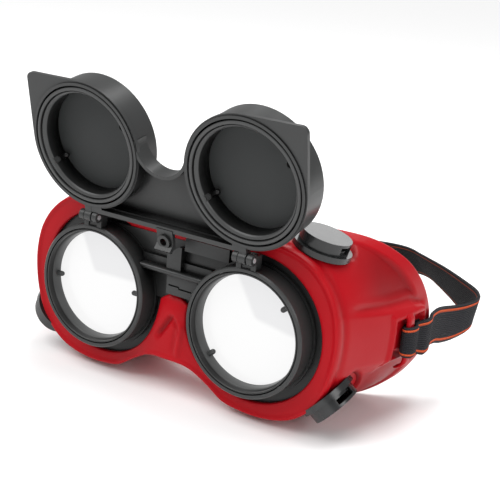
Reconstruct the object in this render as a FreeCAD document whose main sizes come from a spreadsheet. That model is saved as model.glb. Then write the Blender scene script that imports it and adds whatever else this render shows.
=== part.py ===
import FreeCAD, Part
import Sketcher
import math
import os

# Flip-up welding goggles, in millimetres.
# +X is across the face, +Y runs back into the head, +Z is up. The origin lies on the face
# where the nose bridge meets the mask, midway between the two lens axes.
# Depths are measured back from the plane of the eyecups' front lips.

V = FreeCAD.Vector
X_AXIS = V(1, 0, 0)
Z_AXIS = V(0, 0, 1)

SIZES = [
    # lenses and the eyecups that hold them
    ("lens_dia", 50.0, "standard round welding lens"),
    ("eye_gap", 76.3, "distance between the two lens axes"),
    ("eye_relief", 36.0, "front lips of the eyecups to the face"),
    ("cup_bore", 50.6, "bore that the lens and its ring sit in"),
    ("cup_od", 54.0, "outside of the fixed eyecups"),
    ("seat_dia", 46.0, "aperture behind each lens"),
    ("collar_dia", 56.0, "step on the outside of the eyecup"),
    ("collar_depth", 8.8, "front lip to that step"),
    ("flange_dia", 67.0, "flange behind the mask's front wall"),
    ("flange_depth", 10.6, "front lip to the flange"),
    ("flange_back", 12.4, "front lip to the back of the flange"),
    ("seat_depth", 10.2, "front lip to the lens seat"),
    ("gasket_thick", 0.8, "washer under each clear lens"),
    ("clear_thick", 2.4, "clear lens"),
    ("ring_gap", 0.1, "lens ring to lens"),
    ("ring_fit", 0.1, "radial clearance of the ring's thread"),
    ("ring_id", 46.4, "inside of the clear lens ring"),
    ("ring_neck", 48.4, "outside of that ring in front of its thread"),
    ("nub_dia", 2.4, "finger nubs of the lens rings"),
    ("nub_reach", 3.4, "how far a nub stands inwards"),
    # flip-up shade
    ("shade_gap", 0.3, "shade to eyecups when closed"),
    ("shade_depth", 13.4, "depth of the shade's cups"),
    ("shade_od", 53.6, "outside of the shade's cups"),
    ("shade_plate_od", 54.4, "rim plate round each cup"),
    ("shade_rim_od", 53.0, "raised rim round each cup"),
    ("rim_step", 0.6, "raised rim above the rim plate"),
    ("plate_thick", 1.7, "rim plate"),
    ("corner_round", 2.8, "rounding of the pointed corners"),
    ("dark_depth", 9.6, "shade's inner face to the dark lens"),
    ("dark_thick", 2.2, "dark lens"),
    ("dark_gasket", 0.5, "washer under each dark lens"),
    ("shade_ring_id", 44.8, "inside of the shade's lens ring"),
    ("tray_depth", 6.5, "inner face to the floor of the web"),
    ("tray_wall", 1.4, "walls and floor of the web"),
    ("nose_cut_dia", 24.0, "nose cut-out between the cups"),
    ("nose_cut_drop", 7.0, "its centre below the lens axes"),
    ("bar_top", 29.1, "upper edge of the hinge bar above the lens axes"),
    ("bar_high", 2.9, "height of the hinge bar"),
    ("tongue_wide", 7.8, "click tongue"),
    ("tongue_thick", 1.8, "thickness of the tongue"),
    ("tongue_hole", 3.2, "hole in the tongue's boss"),
    # hinge
    ("hinge_forward", 1.35, "hinge axis in front of the eyecups' lips"),
    ("hinge_high", 31.53, "hinge axis above the lens axes"),
    ("raised_angle", 167.9, "closed to raised"),
    ("knuckle_dia", 4.6, "outside of the knuckles"),
    ("pin_dia", 2.0, "hinge pins"),
    ("pin_fit", 0.06, "radial clearance of the shade on its pins"),
    ("hinge_shift", -1.0, "hinges from the lens axes, sideways"),
    ("hinge_span", 9.0, "width of each hinge over its ears"),
    ("ear_wide", 2.3, "each fixed ear"),
    ("knuckle_wide", 3.3, "moving knuckle"),
    ("side_gap", 0.3, "knuckle to ear, sideways"),
    # bridge of the front frame
    ("bridge_depth", 9.0, "front lip to the bridge wall"),
    ("bridge_top", 28.0, "top of the bridge wall"),
    ("bridge_foot", 1.0, "foot of the bridge wall"),
    ("rail_low", 13.4, "underside of the rail across the bridge"),
    ("rail_high", 15.8, "top of that rail"),
    ("rail_depth", 4.7, "front lip to the middle of the rail's rounded nose"),
    ("shelf_high", 19.2, "top of the shelf behind the rail"),
    ("shelf_depth", 7.4, "front lip to the shelf"),
    ("post_wide", 7.0, "post above the rail"),
    ("post_high", 22.0, "top of the post's upright part"),
    ("post_depth", 5.2, "front lip to the post"),
    ("block_left", -3.0, "slotted block under the rail, its left side"),
    ("block_right", 12.0, "right side of that block"),
    ("block_foot", 5.0, "foot of that block"),
    ("block_depth", 5.4, "front lip to that block"),
    ("slot_high", 0.7, "height of each slot in the block"),
    ("brow_left", 4.7, "brow in front of the mask's top edge, its left side"),
    ("brow_right", 26.0, "right side of the brow"),
    ("brow_foot", 25.0, "foot of the brow"),
    ("brow_top", 30.4, "top of the brow"),
    ("brow_depth", 5.6, "front lip to the brow"),
    ("brow_back", 7.6, "front lip to the back of the brow's free edge"),
    # mask
    ("wall", 2.6, "thickness of the soft mask"),
    ("face_depth", 8.0, "front lip to the mask's front face"),
    ("ridge_high", 0.9, "ridge round the mask's front edge"),
    ("ridge_wide", 1.8, "width of that ridge"),
    ("window_dia", 63.0, "openings round the eyecups"),
    ("front_wide", 151.2, "mask width at its front face"),
    ("front_top", 37.0, "mask top at its front face"),
    ("front_foot", 37.6, "mask bottom at its front face"),
    ("front_corner", 32.0, "corner radius at the front face"),
    ("rear_wide", 170.6, "mask width at the temples"),
    ("rear_top", 41.0, "mask top at the temples"),
    ("rear_foot", 40.0, "mask bottom at the temples"),
    ("rear_corner", 34.0, "corner radius at the temples"),
    ("rear_depth", 86.0, "front lip to the temples"),
    ("head_half_wide", 95.0, "half width of the head's curve"),
    ("head_half_deep", 70.7, "half depth of the head's curve"),
    ("head_lean", 14.0, "lean of the face, in degrees"),
    ("head_centre", 117.6, "front lip to the middle of the head's curve, at the mask's foot"),
    ("nose_foot", 26.5, "nose arch below the lens axes"),
    ("nose_width", 27.0, "nose hood at its foot"),
    ("nose_top", 10.0, "nose hood at its top"),
    ("nose_high", 42.0, "height of the nose hood"),
    ("nose_low", 36.0, "foot of the nose hood below the lens axes"),
    ("nose_depth", 16.0, "front lip to the middle of the nose hood"),
    # vents
    ("vent_flange", 24.2, "flange of a vent"),
    ("vent_flange_thick", 2.4, "thickness of that flange"),
    ("vent_cap", 20.8, "cap of a vent"),
    ("vent_cap_high", 4.8, "height of the cap"),
    ("vent_neck", 14.0, "neck through the mask"),
    ("vent_bore", 10.0, "air passage"),
    ("vent_wall", 1.1, "walls of the cap"),
    ("vent_window", 8.6, "air windows in the cap's side"),
    ("vent_boss", 2.6, "seat under a vent, measured into the mask"),
    ("vent_upper_x", 57.3, "upper vents from the middle"),
    ("vent_upper_depth", 23.0, "front lip to the upper vents"),
    ("vent_upper_z", 34.3, "upper vents above the lens axes"),
    ("vent_upper_roll", 13.6, "outward lean of the upper vents, in degrees"),
    ("vent_upper_pitch", 4.1, "backward lean of the upper vents, in degrees"),
    ("vent_upper_turn", 90.0, "turn of their windows from the front, in degrees"),
    ("vent_lower_x", 68.7, "lower vents from the middle"),
    ("vent_lower_depth", 18.0, "front lip to the lower vents"),
    ("vent_lower_z", -21.4, "lower vents above the lens axes"),
    ("vent_lower_roll", 46.9, "outward lean of the lower vents, in degrees"),
    ("vent_lower_pitch", 8.3, "backward lean of the lower vents, in degrees"),
    ("vent_lower_turn", 66.0, "turn of their windows from the front, in degrees"),
    # head strap
    ("strap_wide", 17.6, "width of the elastic band"),
    ("strap_thick", 1.6, "thickness of the elastic band"),
    ("strap_tilt", 5.5, "fall of the band towards the back, in degrees"),
    ("strap_drop", 3.7, "band below the lens axes at the lugs"),
    ("lug_depth", 52.5, "front lip to the lug's bar"),
    ("lug_out", 3.3, "clear gap behind the lug's bar"),
    ("lug_bar", 2.2, "thickness of the lug's bar"),
    ("lug_bar_long", 5.0, "length of the lug's bar along the strap"),
    ("lug_room", 1.3, "band to the lug's passage, above and below"),
    ("slider_wide", 21.4, "strap adjuster, across the strap"),
    ("slider_long", 12.0, "strap adjuster, along the strap"),
    ("slider_thick", 5.0, "thickness of the adjuster"),
    ("slider_x", -14.0, "adjuster from the middle of the back"),
]

doc = FreeCAD.newDocument("welding_goggles")
sheet = doc.addObject("Spreadsheet::Sheet", "sizes")
for row, (alias, value, note) in enumerate(SIZES, start=1):
    sheet.set("A%d" % row, note)
    sheet.set("B%d" % row, str(value))
    sheet.setAlias("B%d" % row, alias)
doc.recompute()
SIZE = {alias: value for alias, value, note in SIZES}

SIDES = (("left", -1), ("right", 1))
LEVELS = (("upper", 1), ("lower", -1))
PARTS = []


def worked(expression):
    """The value of a sheet expression, in millimetres or degrees."""
    return float(sheet.evalExpression(expression))


def keep(obj, label):
    """Names a finished sub-part and lists it for export."""
    obj.Label = label
    PARTS.append(obj)
    return obj


def move(obj, x="0", y="0", z="0", rotation=None):
    """Binds an object's position to the sheet."""
    obj.Placement = FreeCAD.Placement(V(), rotation or FreeCAD.Rotation())
    for axis, text in (("x", x), ("y", y), ("z", z)):
        obj.setExpression(".Placement.Base." + axis, text)
    return obj


def depth(text):
    """Model Y of a depth behind the front lips."""
    return "%s - sizes.eye_relief" % text


def eye(side):
    """Model X of an eye's axis."""
    return "%d * sizes.eye_gap / 2" % side


def hinge_x(side):
    """Model X of the middle of a hinge."""
    return eye(side) + " + sizes.hinge_shift"


# ---------------------------------------------------------------- primitives

ALONG_Y = FreeCAD.Rotation(X_AXIS, -90)
ALONG_X = FreeCAD.Rotation(V(0, 1, 0), 90)


def cylinder(name, dia, length, x="0", y="0", z="0", rotation=None):
    obj = doc.addObject("Part::Cylinder", name)
    obj.setExpression("Radius", "(%s) / 2" % dia)
    obj.setExpression("Height", length)
    return move(obj, x, y, z, rotation)


def block(name, x, y, z):
    """A box from three (low, high) pairs of expressions."""
    obj = doc.addObject("Part::Box", name)
    for side, (low, high) in (("Length", x), ("Width", y), ("Height", z)):
        obj.setExpression(side, "(%s) - (%s)" % (high, low))
    return move(obj, x[0], y[0], z[0])


def fused(name, shapes):
    obj = doc.addObject("Part::MultiFuse", name)
    obj.Shapes = shapes
    obj.Refine = True
    return obj


def cut(name, base, tools):
    obj = doc.addObject("Part::Cut", name)
    obj.Base = base
    obj.Tool = tools[0] if len(tools) == 1 else fused(name + "_tools", tools)
    obj.Refine = True
    return obj


def origin_plane(body, role):
    return [f for f in body.Origin.OriginFeatures if f.Role == role][0]


def turned(name, corners, x="0"):
    """A body of revolution about an axis along Y, from (radius, y) expressions."""
    body = doc.addObject("PartDesign::Body", name)
    sketch = body.newObject("Sketcher::SketchObject", name + "_profile")
    sketch.AttachmentSupport = [(origin_plane(body, "XY_Plane"), "")]
    sketch.MapMode = "FlatFace"
    points = [V(worked(r), worked(y), 0) for r, y in corners]
    count = len(points)
    for i in range(count):
        sketch.addGeometry(Part.LineSegment(points[i], points[(i + 1) % count]), False)
    for i in range(count):
        sketch.addConstraint(Sketcher.Constraint("Coincident", i, 2, (i + 1) % count, 1))
    for i, (r, y) in enumerate(corners):
        sides = [("DistanceX", r, points[i].x), ("DistanceY", y, points[i].y)]
        if r == "0":
            sketch.addConstraint(Sketcher.Constraint("PointOnObject", i, 1, -2))
            sides = sides[1:]
        for kind, text, size in sides:
            index = sketch.addConstraint(Sketcher.Constraint(kind, -1, 1, i, 1, size))
            tag = "%s%d" % (kind[-1].lower(), i)
            sketch.renameConstraint(index, tag)
            sketch.setExpression("Constraints." + tag, text)
    spin = body.newObject("PartDesign::Revolution", name + "_turned")
    spin.Profile = sketch
    spin.ReferenceAxis = (sketch, ["V_Axis"])
    spin.Angle = 360
    return move(body, x)


def disc(name, dia, y0, y1, x):
    half = "%s / 2" % dia
    return turned(name, [("0", y0), (half, y0), (half, y1), ("0", y1)], x)


# ---------------------------------------------------------------- clear lenses


def clear_lens(name, side):
    x = eye(side)
    seat = "sizes.seat_depth - sizes.gasket_thick - sizes.eye_relief"
    gasket = turned(
        "gasket_" + name,
        [
            ("sizes.seat_dia / 2 + 0.1", seat),
            ("sizes.lens_dia / 2 + 0.1", seat),
            ("sizes.lens_dia / 2 + 0.1", depth("sizes.seat_depth")),
            ("sizes.seat_dia / 2 + 0.1", depth("sizes.seat_depth")),
        ],
        x,
    )
    keep(gasket, "lens_gasket_" + name)
    front = "sizes.seat_depth - sizes.gasket_thick - sizes.clear_thick"
    lens = disc("lens_" + name, "sizes.lens_dia", depth(front), seat, x)
    keep(lens, "clear_lens_" + name)


def lens_ring(name, x, corners, nub_y, nub_angle, bore):
    """A threaded ring with two nubs that stand inwards beside the lens."""
    ring = turned("ring_" + name, corners, x)
    nubs = []
    for index, angle in enumerate((nub_angle, nub_angle + 180)):
        outward = V(math.cos(math.radians(angle)), 0, math.sin(math.radians(angle)))
        nub = cylinder(
            "nub_%s_%d" % (name, index),
            "sizes.nub_dia",
            "sizes.nub_reach + 0.8",
            "%s + (%s / 2 - sizes.nub_reach) * %.5f" % (x, bore, outward.x),
            nub_y,
            "(%s / 2 - sizes.nub_reach) * %.5f" % (bore, outward.z),
            FreeCAD.Rotation(Z_AXIS, outward),
        )
        nubs.append(nub)
    return fused("ring_with_nubs_" + name, [ring] + nubs)


def clear_ring(name, side, nub_angle):
    back = "sizes.seat_depth - sizes.gasket_thick - sizes.clear_thick - sizes.ring_gap"
    thread = "(sizes.cup_bore / 2 - sizes.ring_fit)"
    corners = [
        ("sizes.ring_id / 2", depth("0.2")),
        ("sizes.ring_neck / 2", depth("0.2")),
        ("sizes.ring_neck / 2", depth("1.8")),
        (thread, depth("2.5")),
        (thread, depth(back)),
        ("sizes.ring_id / 2", depth(back)),
    ]
    nub_y = depth(back + " - sizes.nub_dia / 2 - 0.15")
    ring = lens_ring("clear_" + name, eye(side), corners, nub_y, nub_angle, "sizes.ring_id")
    keep(ring, "lens_ring_" + name)


# ---------------------------------------------------------------- front frame


def eyecup(name, side):
    """One fixed tube with its lens seat and the flange that holds it in the mask."""
    corners = [
        ("sizes.cup_bore / 2", depth("0")),
        ("sizes.cup_od / 2 - 0.5", depth("0")),
        ("sizes.cup_od / 2", depth("0.5")),
        ("sizes.cup_od / 2", depth("sizes.collar_depth")),
        ("sizes.collar_dia / 2", depth("sizes.collar_depth")),
        ("sizes.collar_dia / 2", depth("sizes.flange_depth")),
        ("sizes.flange_dia / 2", depth("sizes.flange_depth")),
        ("sizes.flange_dia / 2", depth("sizes.flange_back")),
        ("sizes.seat_dia / 2", depth("sizes.flange_back")),
        ("sizes.seat_dia / 2", depth("sizes.seat_depth")),
        ("sizes.cup_bore / 2", depth("sizes.seat_depth")),
    ]
    return turned("eyecup_" + name, corners, eye(side))


# Where the two ears of a hinge start, from the hinge's middle.
EAR_STARTS = ("-sizes.hinge_span / 2", "sizes.hinge_span / 2 - sizes.ear_wide")


def hinge_ears(name, side):
    """Two ears on top of an eyecup, on upright blocks and the saddle between them."""
    pieces = []
    for index, start in enumerate(EAR_STARTS):
        low = "%s + (%s)" % (hinge_x(side), start)
        high = low + " + sizes.ear_wide"
        ear = cylinder(
            "ear_%s_%d" % (name, index),
            "sizes.knuckle_dia",
            "sizes.ear_wide",
            low,
            depth("-sizes.hinge_forward"),
            "sizes.hinge_high",
            ALONG_X,
        )
        stem = block(
            "stem_%s_%d" % (name, index),
            (low, high),
            (depth("0.3"), depth("4.4")),
            ("sizes.cup_od / 2 - 1.6", "sizes.hinge_high - 1.8"),
        )
        head = block(
            "stem_head_%s_%d" % (name, index),
            (low, high),
            (depth("-sizes.hinge_forward"), depth("4.4")),
            ("sizes.hinge_high - 1.8", "sizes.hinge_high + 1.2"),
        )
        pieces += [ear, stem, head]
    saddle = block(
        "saddle_" + name,
        (hinge_x(side) + " - sizes.hinge_span / 2", hinge_x(side) + " + sizes.hinge_span / 2"),
        (depth("0.8"), depth("4.4")),
        ("sizes.cup_od / 2 - 1.6", "sizes.hinge_high - sizes.knuckle_dia / 2 - 0.4"),
    )
    return pieces + [saddle]


def bridge():
    """Wall, rail, shelf, post, slotted block and brow between the two eyecups."""
    half = "sizes.eye_gap / 2 - sizes.cup_od / 2 + %s"
    rail_end, shelf_end = half % "5", half % "6"
    wall_front = depth("sizes.bridge_depth")
    wall = block(
        "bridge_wall",
        ("-sizes.eye_gap / 2", "sizes.eye_gap / 2"),
        (wall_front, depth("sizes.flange_back")),
        ("sizes.bridge_foot", "sizes.bridge_top"),
    )
    rail = block(
        "rail",
        ("-(%s)" % rail_end, rail_end),
        (depth("sizes.rail_depth"), wall_front),
        ("sizes.rail_low", "sizes.rail_high"),
    )
    nose = cylinder("rail_nose", "sizes.rail_high - sizes.rail_low", "2 * (%s)" % rail_end,
                    "-(%s)" % rail_end, depth("sizes.rail_depth"),
                    "(sizes.rail_low + sizes.rail_high) / 2", ALONG_X)
    shelf = block(
        "shelf",
        ("-(%s)" % shelf_end, shelf_end),
        (depth("sizes.shelf_depth"), wall_front),
        ("sizes.rail_high", "sizes.shelf_high"),
    )
    lower = block(
        "slotted_block",
        ("sizes.block_left", "sizes.block_right"),
        (depth("sizes.block_depth"), wall_front),
        ("sizes.block_foot", "sizes.rail_low"),
    )
    brow_foot = block(
        "brow_foot",
        ("sizes.brow_left", "sizes.brow_right"),
        (depth("sizes.brow_depth"), wall_front),
        ("sizes.brow_foot", "sizes.bridge_top - 0.5"),
    )
    brow_edge = block(
        "brow_edge",
        ("sizes.brow_left", "sizes.brow_right"),
        (depth("sizes.brow_depth"), depth("sizes.brow_back")),
        ("sizes.brow_foot", "sizes.brow_top"),
    )
    return [wall, rail, nose, shelf, lower, brow_foot, brow_edge] + bridge_post(wall_front)


def bridge_post(wall_front):
    """The upright post on the rail, with a top that slants up towards its right side."""
    side = "sizes.post_wide / 2"
    post = block("post", ("-" + side, side), (depth("sizes.post_depth"), wall_front),
                 ("sizes.rail_high", "sizes.post_high"))
    wedge = doc.addObject("Part::Wedge", "post_top")
    wedge.Xmin, wedge.Ymin, wedge.Zmin, wedge.Z2min = 0, 0, 0, 0
    wedge.setExpression("Xmax", "sizes.post_wide")
    wedge.setExpression("X2max", "sizes.post_wide")
    wedge.setExpression("X2min", "0.8 * sizes.post_wide")
    wedge.setExpression("Ymax", "sizes.bridge_top - sizes.post_high - 2")
    wedge.setExpression("Zmax", "sizes.bridge_depth - sizes.post_depth")
    wedge.setExpression("Z2max", "sizes.bridge_depth - sizes.post_depth")
    move(wedge, "-" + side, wall_front, "sizes.post_high", FreeCAD.Rotation(X_AXIS, 90))
    return [post, wedge]


def front_frame():
    cups = [eyecup(name, side) for name, side in SIDES]
    ears = [piece for name, side in SIDES for piece in hinge_ears(name, side)]
    body = fused("frame_blank", cups + bridge() + ears)
    tools = []
    for name, side in SIDES:
        tools.append(cylinder("frame_bore_" + name, "sizes.cup_bore", "sizes.seat_depth + 6",
                              eye(side), depth("-6"), "0", ALONG_Y))
        tools.append(cylinder("frame_window_" + name, "sizes.seat_dia", "30",
                              eye(side), depth("-6"), "0", ALONG_Y))
        tools.append(cylinder("ear_bore_" + name, "sizes.pin_dia", "sizes.hinge_span + 2",
                              hinge_x(side) + " - sizes.hinge_span / 2 - 1",
                              depth("-sizes.hinge_forward"), "sizes.hinge_high", ALONG_X))
    for index, (left, right, height) in enumerate((("-2", "3.4", "8.6"), ("3", "9.6", "7.9"))):
        tools.append(block("slot_%d" % index, (left, right),
                           (depth("sizes.block_depth - 1"), depth("sizes.block_depth + 0.8")),
                           (height, height + " + sizes.slot_high")))
    keep(cut("frame", body, tools), "front_frame")


def hinge_pin(name, side):
    pin = cylinder("pin_" + name, "sizes.pin_dia", "sizes.hinge_span + 0.5",
                   hinge_x(side) + " - sizes.hinge_span / 2 - 0.25",
                   depth("-sizes.hinge_forward"), "sizes.hinge_high", ALONG_X)
    keep(pin, "hinge_pin_" + name)


# ---------------------------------------------------------------- flip-up shade
# The shade's pieces are drawn closed, against the eyecups, and then turned up on the hinge.


def raised(obj):
    """Turns a piece of the shade about the hinge axis to its raised place."""
    y = "(-sizes.hinge_forward - sizes.eye_relief)"
    z = "sizes.hinge_high"
    cos, sin = "cos(sizes.raised_angle)", "sin(sizes.raised_angle)"
    place = obj.Placement
    place.Rotation = FreeCAD.Rotation(X_AXIS, -SIZE["raised_angle"])
    obj.Placement = place
    obj.setExpression(".Placement.Base.y", "%s - %s * %s - %s * %s" % (y, cos, y, sin, z))
    obj.setExpression(".Placement.Base.z", "%s + %s * %s - %s * %s" % (z, sin, y, cos, z))
    return obj


def ahead(text):
    """Model Y of a distance in front of the shade's inner face, when it is closed."""
    return "-sizes.shade_gap - sizes.eye_relief - (%s)" % text


def rounded_corner(name, side):
    """The pointed outer corner of the rim plate, with its rounded tip."""
    half = "sizes.shade_plate_od / 2"
    edge = "%s + %d * (%s)" % (eye(side), side, half)
    low, high = (eye(side), edge) if side > 0 else (edge, eye(side))
    plate = block(name, (low, high),
                  (ahead("sizes.rim_step + sizes.plate_thick"), ahead("sizes.rim_step")),
                  ("-" + half, "0"))
    doc.recompute()
    tips = []
    for index, e in enumerate(plate.Shape.Edges, start=1):
        upright = abs(e.Vertexes[0].Y - e.Vertexes[-1].Y) > 0.5
        outer = abs(e.Vertexes[0].X - worked(edge)) < 0.01
        if upright and outer and e.Vertexes[0].Z < -1:
            tips.append((index, SIZE["corner_round"], SIZE["corner_round"]))
    tip = doc.addObject("Part::Fillet", name + "_round")
    tip.Base = plate
    tip.Edges = tips
    return tip


def shade_cup(name, side):
    """Cup with a raised inner rim, and a lip at its far end that the dark lens rests on."""
    corners = [
        ("sizes.cup_bore / 2", ahead("0")),
        ("sizes.shade_rim_od / 2", ahead("0")),
        ("sizes.shade_rim_od / 2", ahead("sizes.rim_step")),
        ("sizes.shade_plate_od / 2", ahead("sizes.rim_step")),
        ("sizes.shade_plate_od / 2", ahead("sizes.rim_step + sizes.plate_thick")),
        ("sizes.shade_od / 2", ahead("sizes.rim_step + sizes.plate_thick")),
        ("sizes.shade_od / 2", ahead("sizes.shade_depth")),
        ("sizes.seat_dia / 2", ahead("sizes.shade_depth")),
        ("sizes.seat_dia / 2", ahead("sizes.dark_depth + sizes.dark_thick + sizes.dark_gasket")),
        ("sizes.cup_bore / 2", ahead("sizes.dark_depth + sizes.dark_thick + sizes.dark_gasket")),
    ]
    return turned("shade_cup_" + name, corners, eye(side))


def shade_web():
    """Tray between the cups: hinge bar above, floor, and a wall round the nose cut-out."""
    blank = block(
        "web_blank",
        ("-sizes.eye_gap / 2", "sizes.eye_gap / 2"),
        (ahead("sizes.tray_depth + sizes.tray_wall"), ahead("0.3")),
        ("-sizes.nose_cut_drop", "sizes.bar_top"),
    )
    notch = cylinder("nose_cut", "sizes.nose_cut_dia", "20", "0", ahead("15"),
                     "-sizes.nose_cut_drop", ALONG_Y)
    pocket = block(
        "pocket_blank",
        ("-sizes.eye_gap / 2", "sizes.eye_gap / 2"),
        (ahead("sizes.tray_depth"), ahead("-1")),
        ("-sizes.nose_cut_drop - 1", "sizes.bar_top - sizes.bar_high"),
    )
    spared = [
        cylinder("nose_wall", "sizes.nose_cut_dia + 2 * sizes.tray_wall", "20", "0", ahead("15"),
                 "-sizes.nose_cut_drop", ALONG_Y)
    ]
    for name, side in SIDES:
        spared.append(cylinder("cup_wall_" + name, "sizes.shade_od", "20", eye(side), ahead("15"),
                               "0", ALONG_Y))
    pocket = cut("web_pocket", pocket, spared)
    groove = block(
        "bar_groove",
        ("-sizes.eye_gap / 2 + 6", "sizes.eye_gap / 2 - 6"),
        (ahead("2.6"), ahead("-1")),
        ("sizes.bar_top - sizes.bar_high", "sizes.bar_top - sizes.bar_high + 0.9"),
    )
    return cut("web", blank, [notch, pocket, groove])


def knuckle(name, side):
    start = "%s - sizes.hinge_span / 2 + sizes.ear_wide + sizes.side_gap" % hinge_x(side)
    end = start + " + sizes.knuckle_wide"
    barrel = cylinder("knuckle_" + name, "sizes.knuckle_dia", "sizes.knuckle_wide", start,
                      depth("-sizes.hinge_forward"), "sizes.hinge_high", ALONG_X)
    arm = block("knuckle_arm_" + name, (start, end), (ahead("3.4"), ahead("0.2")),
                ("sizes.cup_bore / 2 + 0.6", "sizes.hinge_high"))
    return [barrel, arm]


def tongue():
    """Click tongue behind the hinge line, with a ring boss and a lip that slants back."""
    half = "sizes.tongue_wide / 2"
    plate = block(
        "tongue_plate",
        ("-" + half, half),
        (ahead("sizes.tongue_thick"), ahead("0")),
        ("sizes.bar_top - 1", "sizes.hinge_high + 4.6"),
    )
    lip = doc.addObject("Part::Box", "tongue_lip")
    lip.setExpression("Length", "sizes.tongue_wide")
    lip.setExpression("Width", "sizes.tongue_thick")
    lip.Height = 4.0
    move(lip, "-" + half, ahead("sizes.tongue_thick"), "sizes.hinge_high + 3.4",
         FreeCAD.Rotation(X_AXIS, -48))
    boss = cylinder("tongue_boss", "sizes.tongue_hole + 2.6", "sizes.tongue_thick + 1.2", "0",
                    ahead("sizes.tongue_thick"), "sizes.hinge_high + 1.6", ALONG_Y)
    return [plate, lip, boss]


def shade_carrier():
    solids = [shade_web()]
    for name, side in SIDES:
        solids.append(shade_cup(name, side))
        solids.append(rounded_corner("corner_" + name, side))
        solids += knuckle(name, side)
    body = fused("shade_blank", solids + tongue())
    tools = []
    for name, side in SIDES:
        back = "sizes.dark_depth + sizes.dark_thick + sizes.dark_gasket"
        tools.append(cylinder("shade_bore_" + name, "sizes.cup_bore", back + " + 1", eye(side),
                              ahead(back), "0", ALONG_Y))
        tools.append(cylinder("shade_window_" + name, "sizes.seat_dia", "20", eye(side), ahead("16"),
                              "0", ALONG_Y))
        tools.append(cylinder("knuckle_bore_" + name, "sizes.pin_dia + 2 * sizes.pin_fit",
                              "sizes.hinge_span", hinge_x(side) + " - sizes.hinge_span / 2",
                              depth("-sizes.hinge_forward"), "sizes.hinge_high", ALONG_X))
        for index, start in enumerate(EAR_STARTS):
            low = "%s + (%s) - sizes.side_gap" % (hinge_x(side), start)
            tools.append(cylinder("ear_notch_%s_%d" % (name, index), "sizes.knuckle_dia + 0.8",
                                  "sizes.ear_wide + 2 * sizes.side_gap", low,
                                  depth("-sizes.hinge_forward"), "sizes.hinge_high", ALONG_X))
    tools.append(cylinder("tongue_bore", "sizes.tongue_hole", "20", "0", ahead("10"),
                          "sizes.hinge_high + 1.6", ALONG_Y))
    keep(raised(cut("shade", body, tools)), "shade_carrier")


def dark_lens(name, side):
    back = "sizes.dark_depth + sizes.dark_thick"
    gasket = turned(
        "dark_gasket_" + name,
        [
            ("sizes.seat_dia / 2 + 0.1", ahead(back)),
            ("sizes.lens_dia / 2 + 0.1", ahead(back)),
            ("sizes.lens_dia / 2 + 0.1", ahead(back + " + sizes.dark_gasket")),
            ("sizes.seat_dia / 2 + 0.1", ahead(back + " + sizes.dark_gasket")),
        ],
        eye(side),
    )
    lens = disc("dark_" + name, "sizes.lens_dia", ahead(back), ahead("sizes.dark_depth"), eye(side))
    keep(raised(gasket), "shade_gasket_" + name)
    keep(raised(lens), "shade_lens_" + name)


def shade_ring(name, side, nub_angle):
    thread = "(sizes.cup_bore / 2 - sizes.ring_fit)"
    end = "sizes.dark_depth - sizes.ring_gap"
    corners = [
        ("sizes.shade_ring_id / 2", ahead("0.4")),
        (thread, ahead("0.4")),
        (thread, ahead(end)),
        ("sizes.shade_ring_id / 2 + 1", ahead(end)),
        ("sizes.shade_ring_id / 2 + 1", ahead("3.4")),
        ("sizes.shade_ring_id / 2", ahead("3.4")),
    ]
    nub_y = ahead(end + " - sizes.nub_dia / 2 - 0.15")
    ring = lens_ring("shade_" + name, eye(side), corners, nub_y, nub_angle, "(sizes.shade_ring_id + 2)")
    keep(raised(ring), "shade_ring_" + name)


# ---------------------------------------------------------------- soft mask


def outline(half_wide, top, foot, corner, y):
    """A rounded rectangle in the plane of constant y, as one closed wire."""
    edges = []
    centres = [
        (half_wide - corner, top - corner, 0),
        (corner - half_wide, top - corner, 90),
        (corner - half_wide, corner - foot, 180),
        (half_wide - corner, corner - foot, 270),
    ]
    ends = []
    for x, z, start in centres:
        arc = []
        for turn in (0, 45, 90):
            angle = math.radians(start + turn)
            arc.append(V(x + corner * math.cos(angle), y, z + corner * math.sin(angle)))
        ends.append(arc)
    for i, arc in enumerate(ends):
        edges.append(Part.Arc(*arc).toShape())
        edges.append(Part.LineSegment(arc[2], ends[(i + 1) % 4][0]).toShape())
    return Part.Wire(edges)


def mask_loft(inset, start):
    """The mask's form, drawn in by an inset, from a depth back to the temples."""
    front = SIZE["face_depth"]
    back = SIZE["rear_depth"]
    wires = []
    for at in (start, 0.45 * (front + back), back):
        share = (at - front) / (back - front)
        share = max(0.0, min(1.0, share))
        swell = math.sin(share * math.pi / 2)
        sizes = []
        for kind in ("wide", "top", "foot", "corner"):
            low, high = SIZE["front_" + kind], SIZE["rear_" + kind]
            sizes.append(low + (high - low) * swell)
        wide, top, foot, corner = sizes
        wires.append(outline(wide / 2 - inset, top - inset, foot - inset, corner - inset,
                             at - SIZE["eye_relief"]))
    return Part.makeLoft(wires, True, False)


def face_slab(depth_from, depth_to, inset):
    wire = outline(SIZE["front_wide"] / 2 - inset, SIZE["front_top"] - inset,
                   SIZE["front_foot"] - inset, SIZE["front_corner"] - inset,
                   depth_from - SIZE["eye_relief"])
    return Part.Face(wire).extrude(V(0, depth_to - depth_from, 0))


def head_form():
    """An upright elliptic column that leans with the face; the mask's rear edge lies on it."""
    centre = SIZE["head_centre"] - SIZE["eye_relief"]
    ellipse = Part.Ellipse(V(0, centre, 0), SIZE["head_half_wide"], SIZE["head_half_deep"])
    face = Part.Face(Part.Wire(ellipse.toShape()))
    lean = math.tan(math.radians(SIZE["head_lean"]))
    high = 80.0
    face.translate(V(0, (high - SIZE["rear_foot"]) * lean, -high))
    return face.extrude(V(0, -2 * high * lean, 2 * high))


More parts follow.
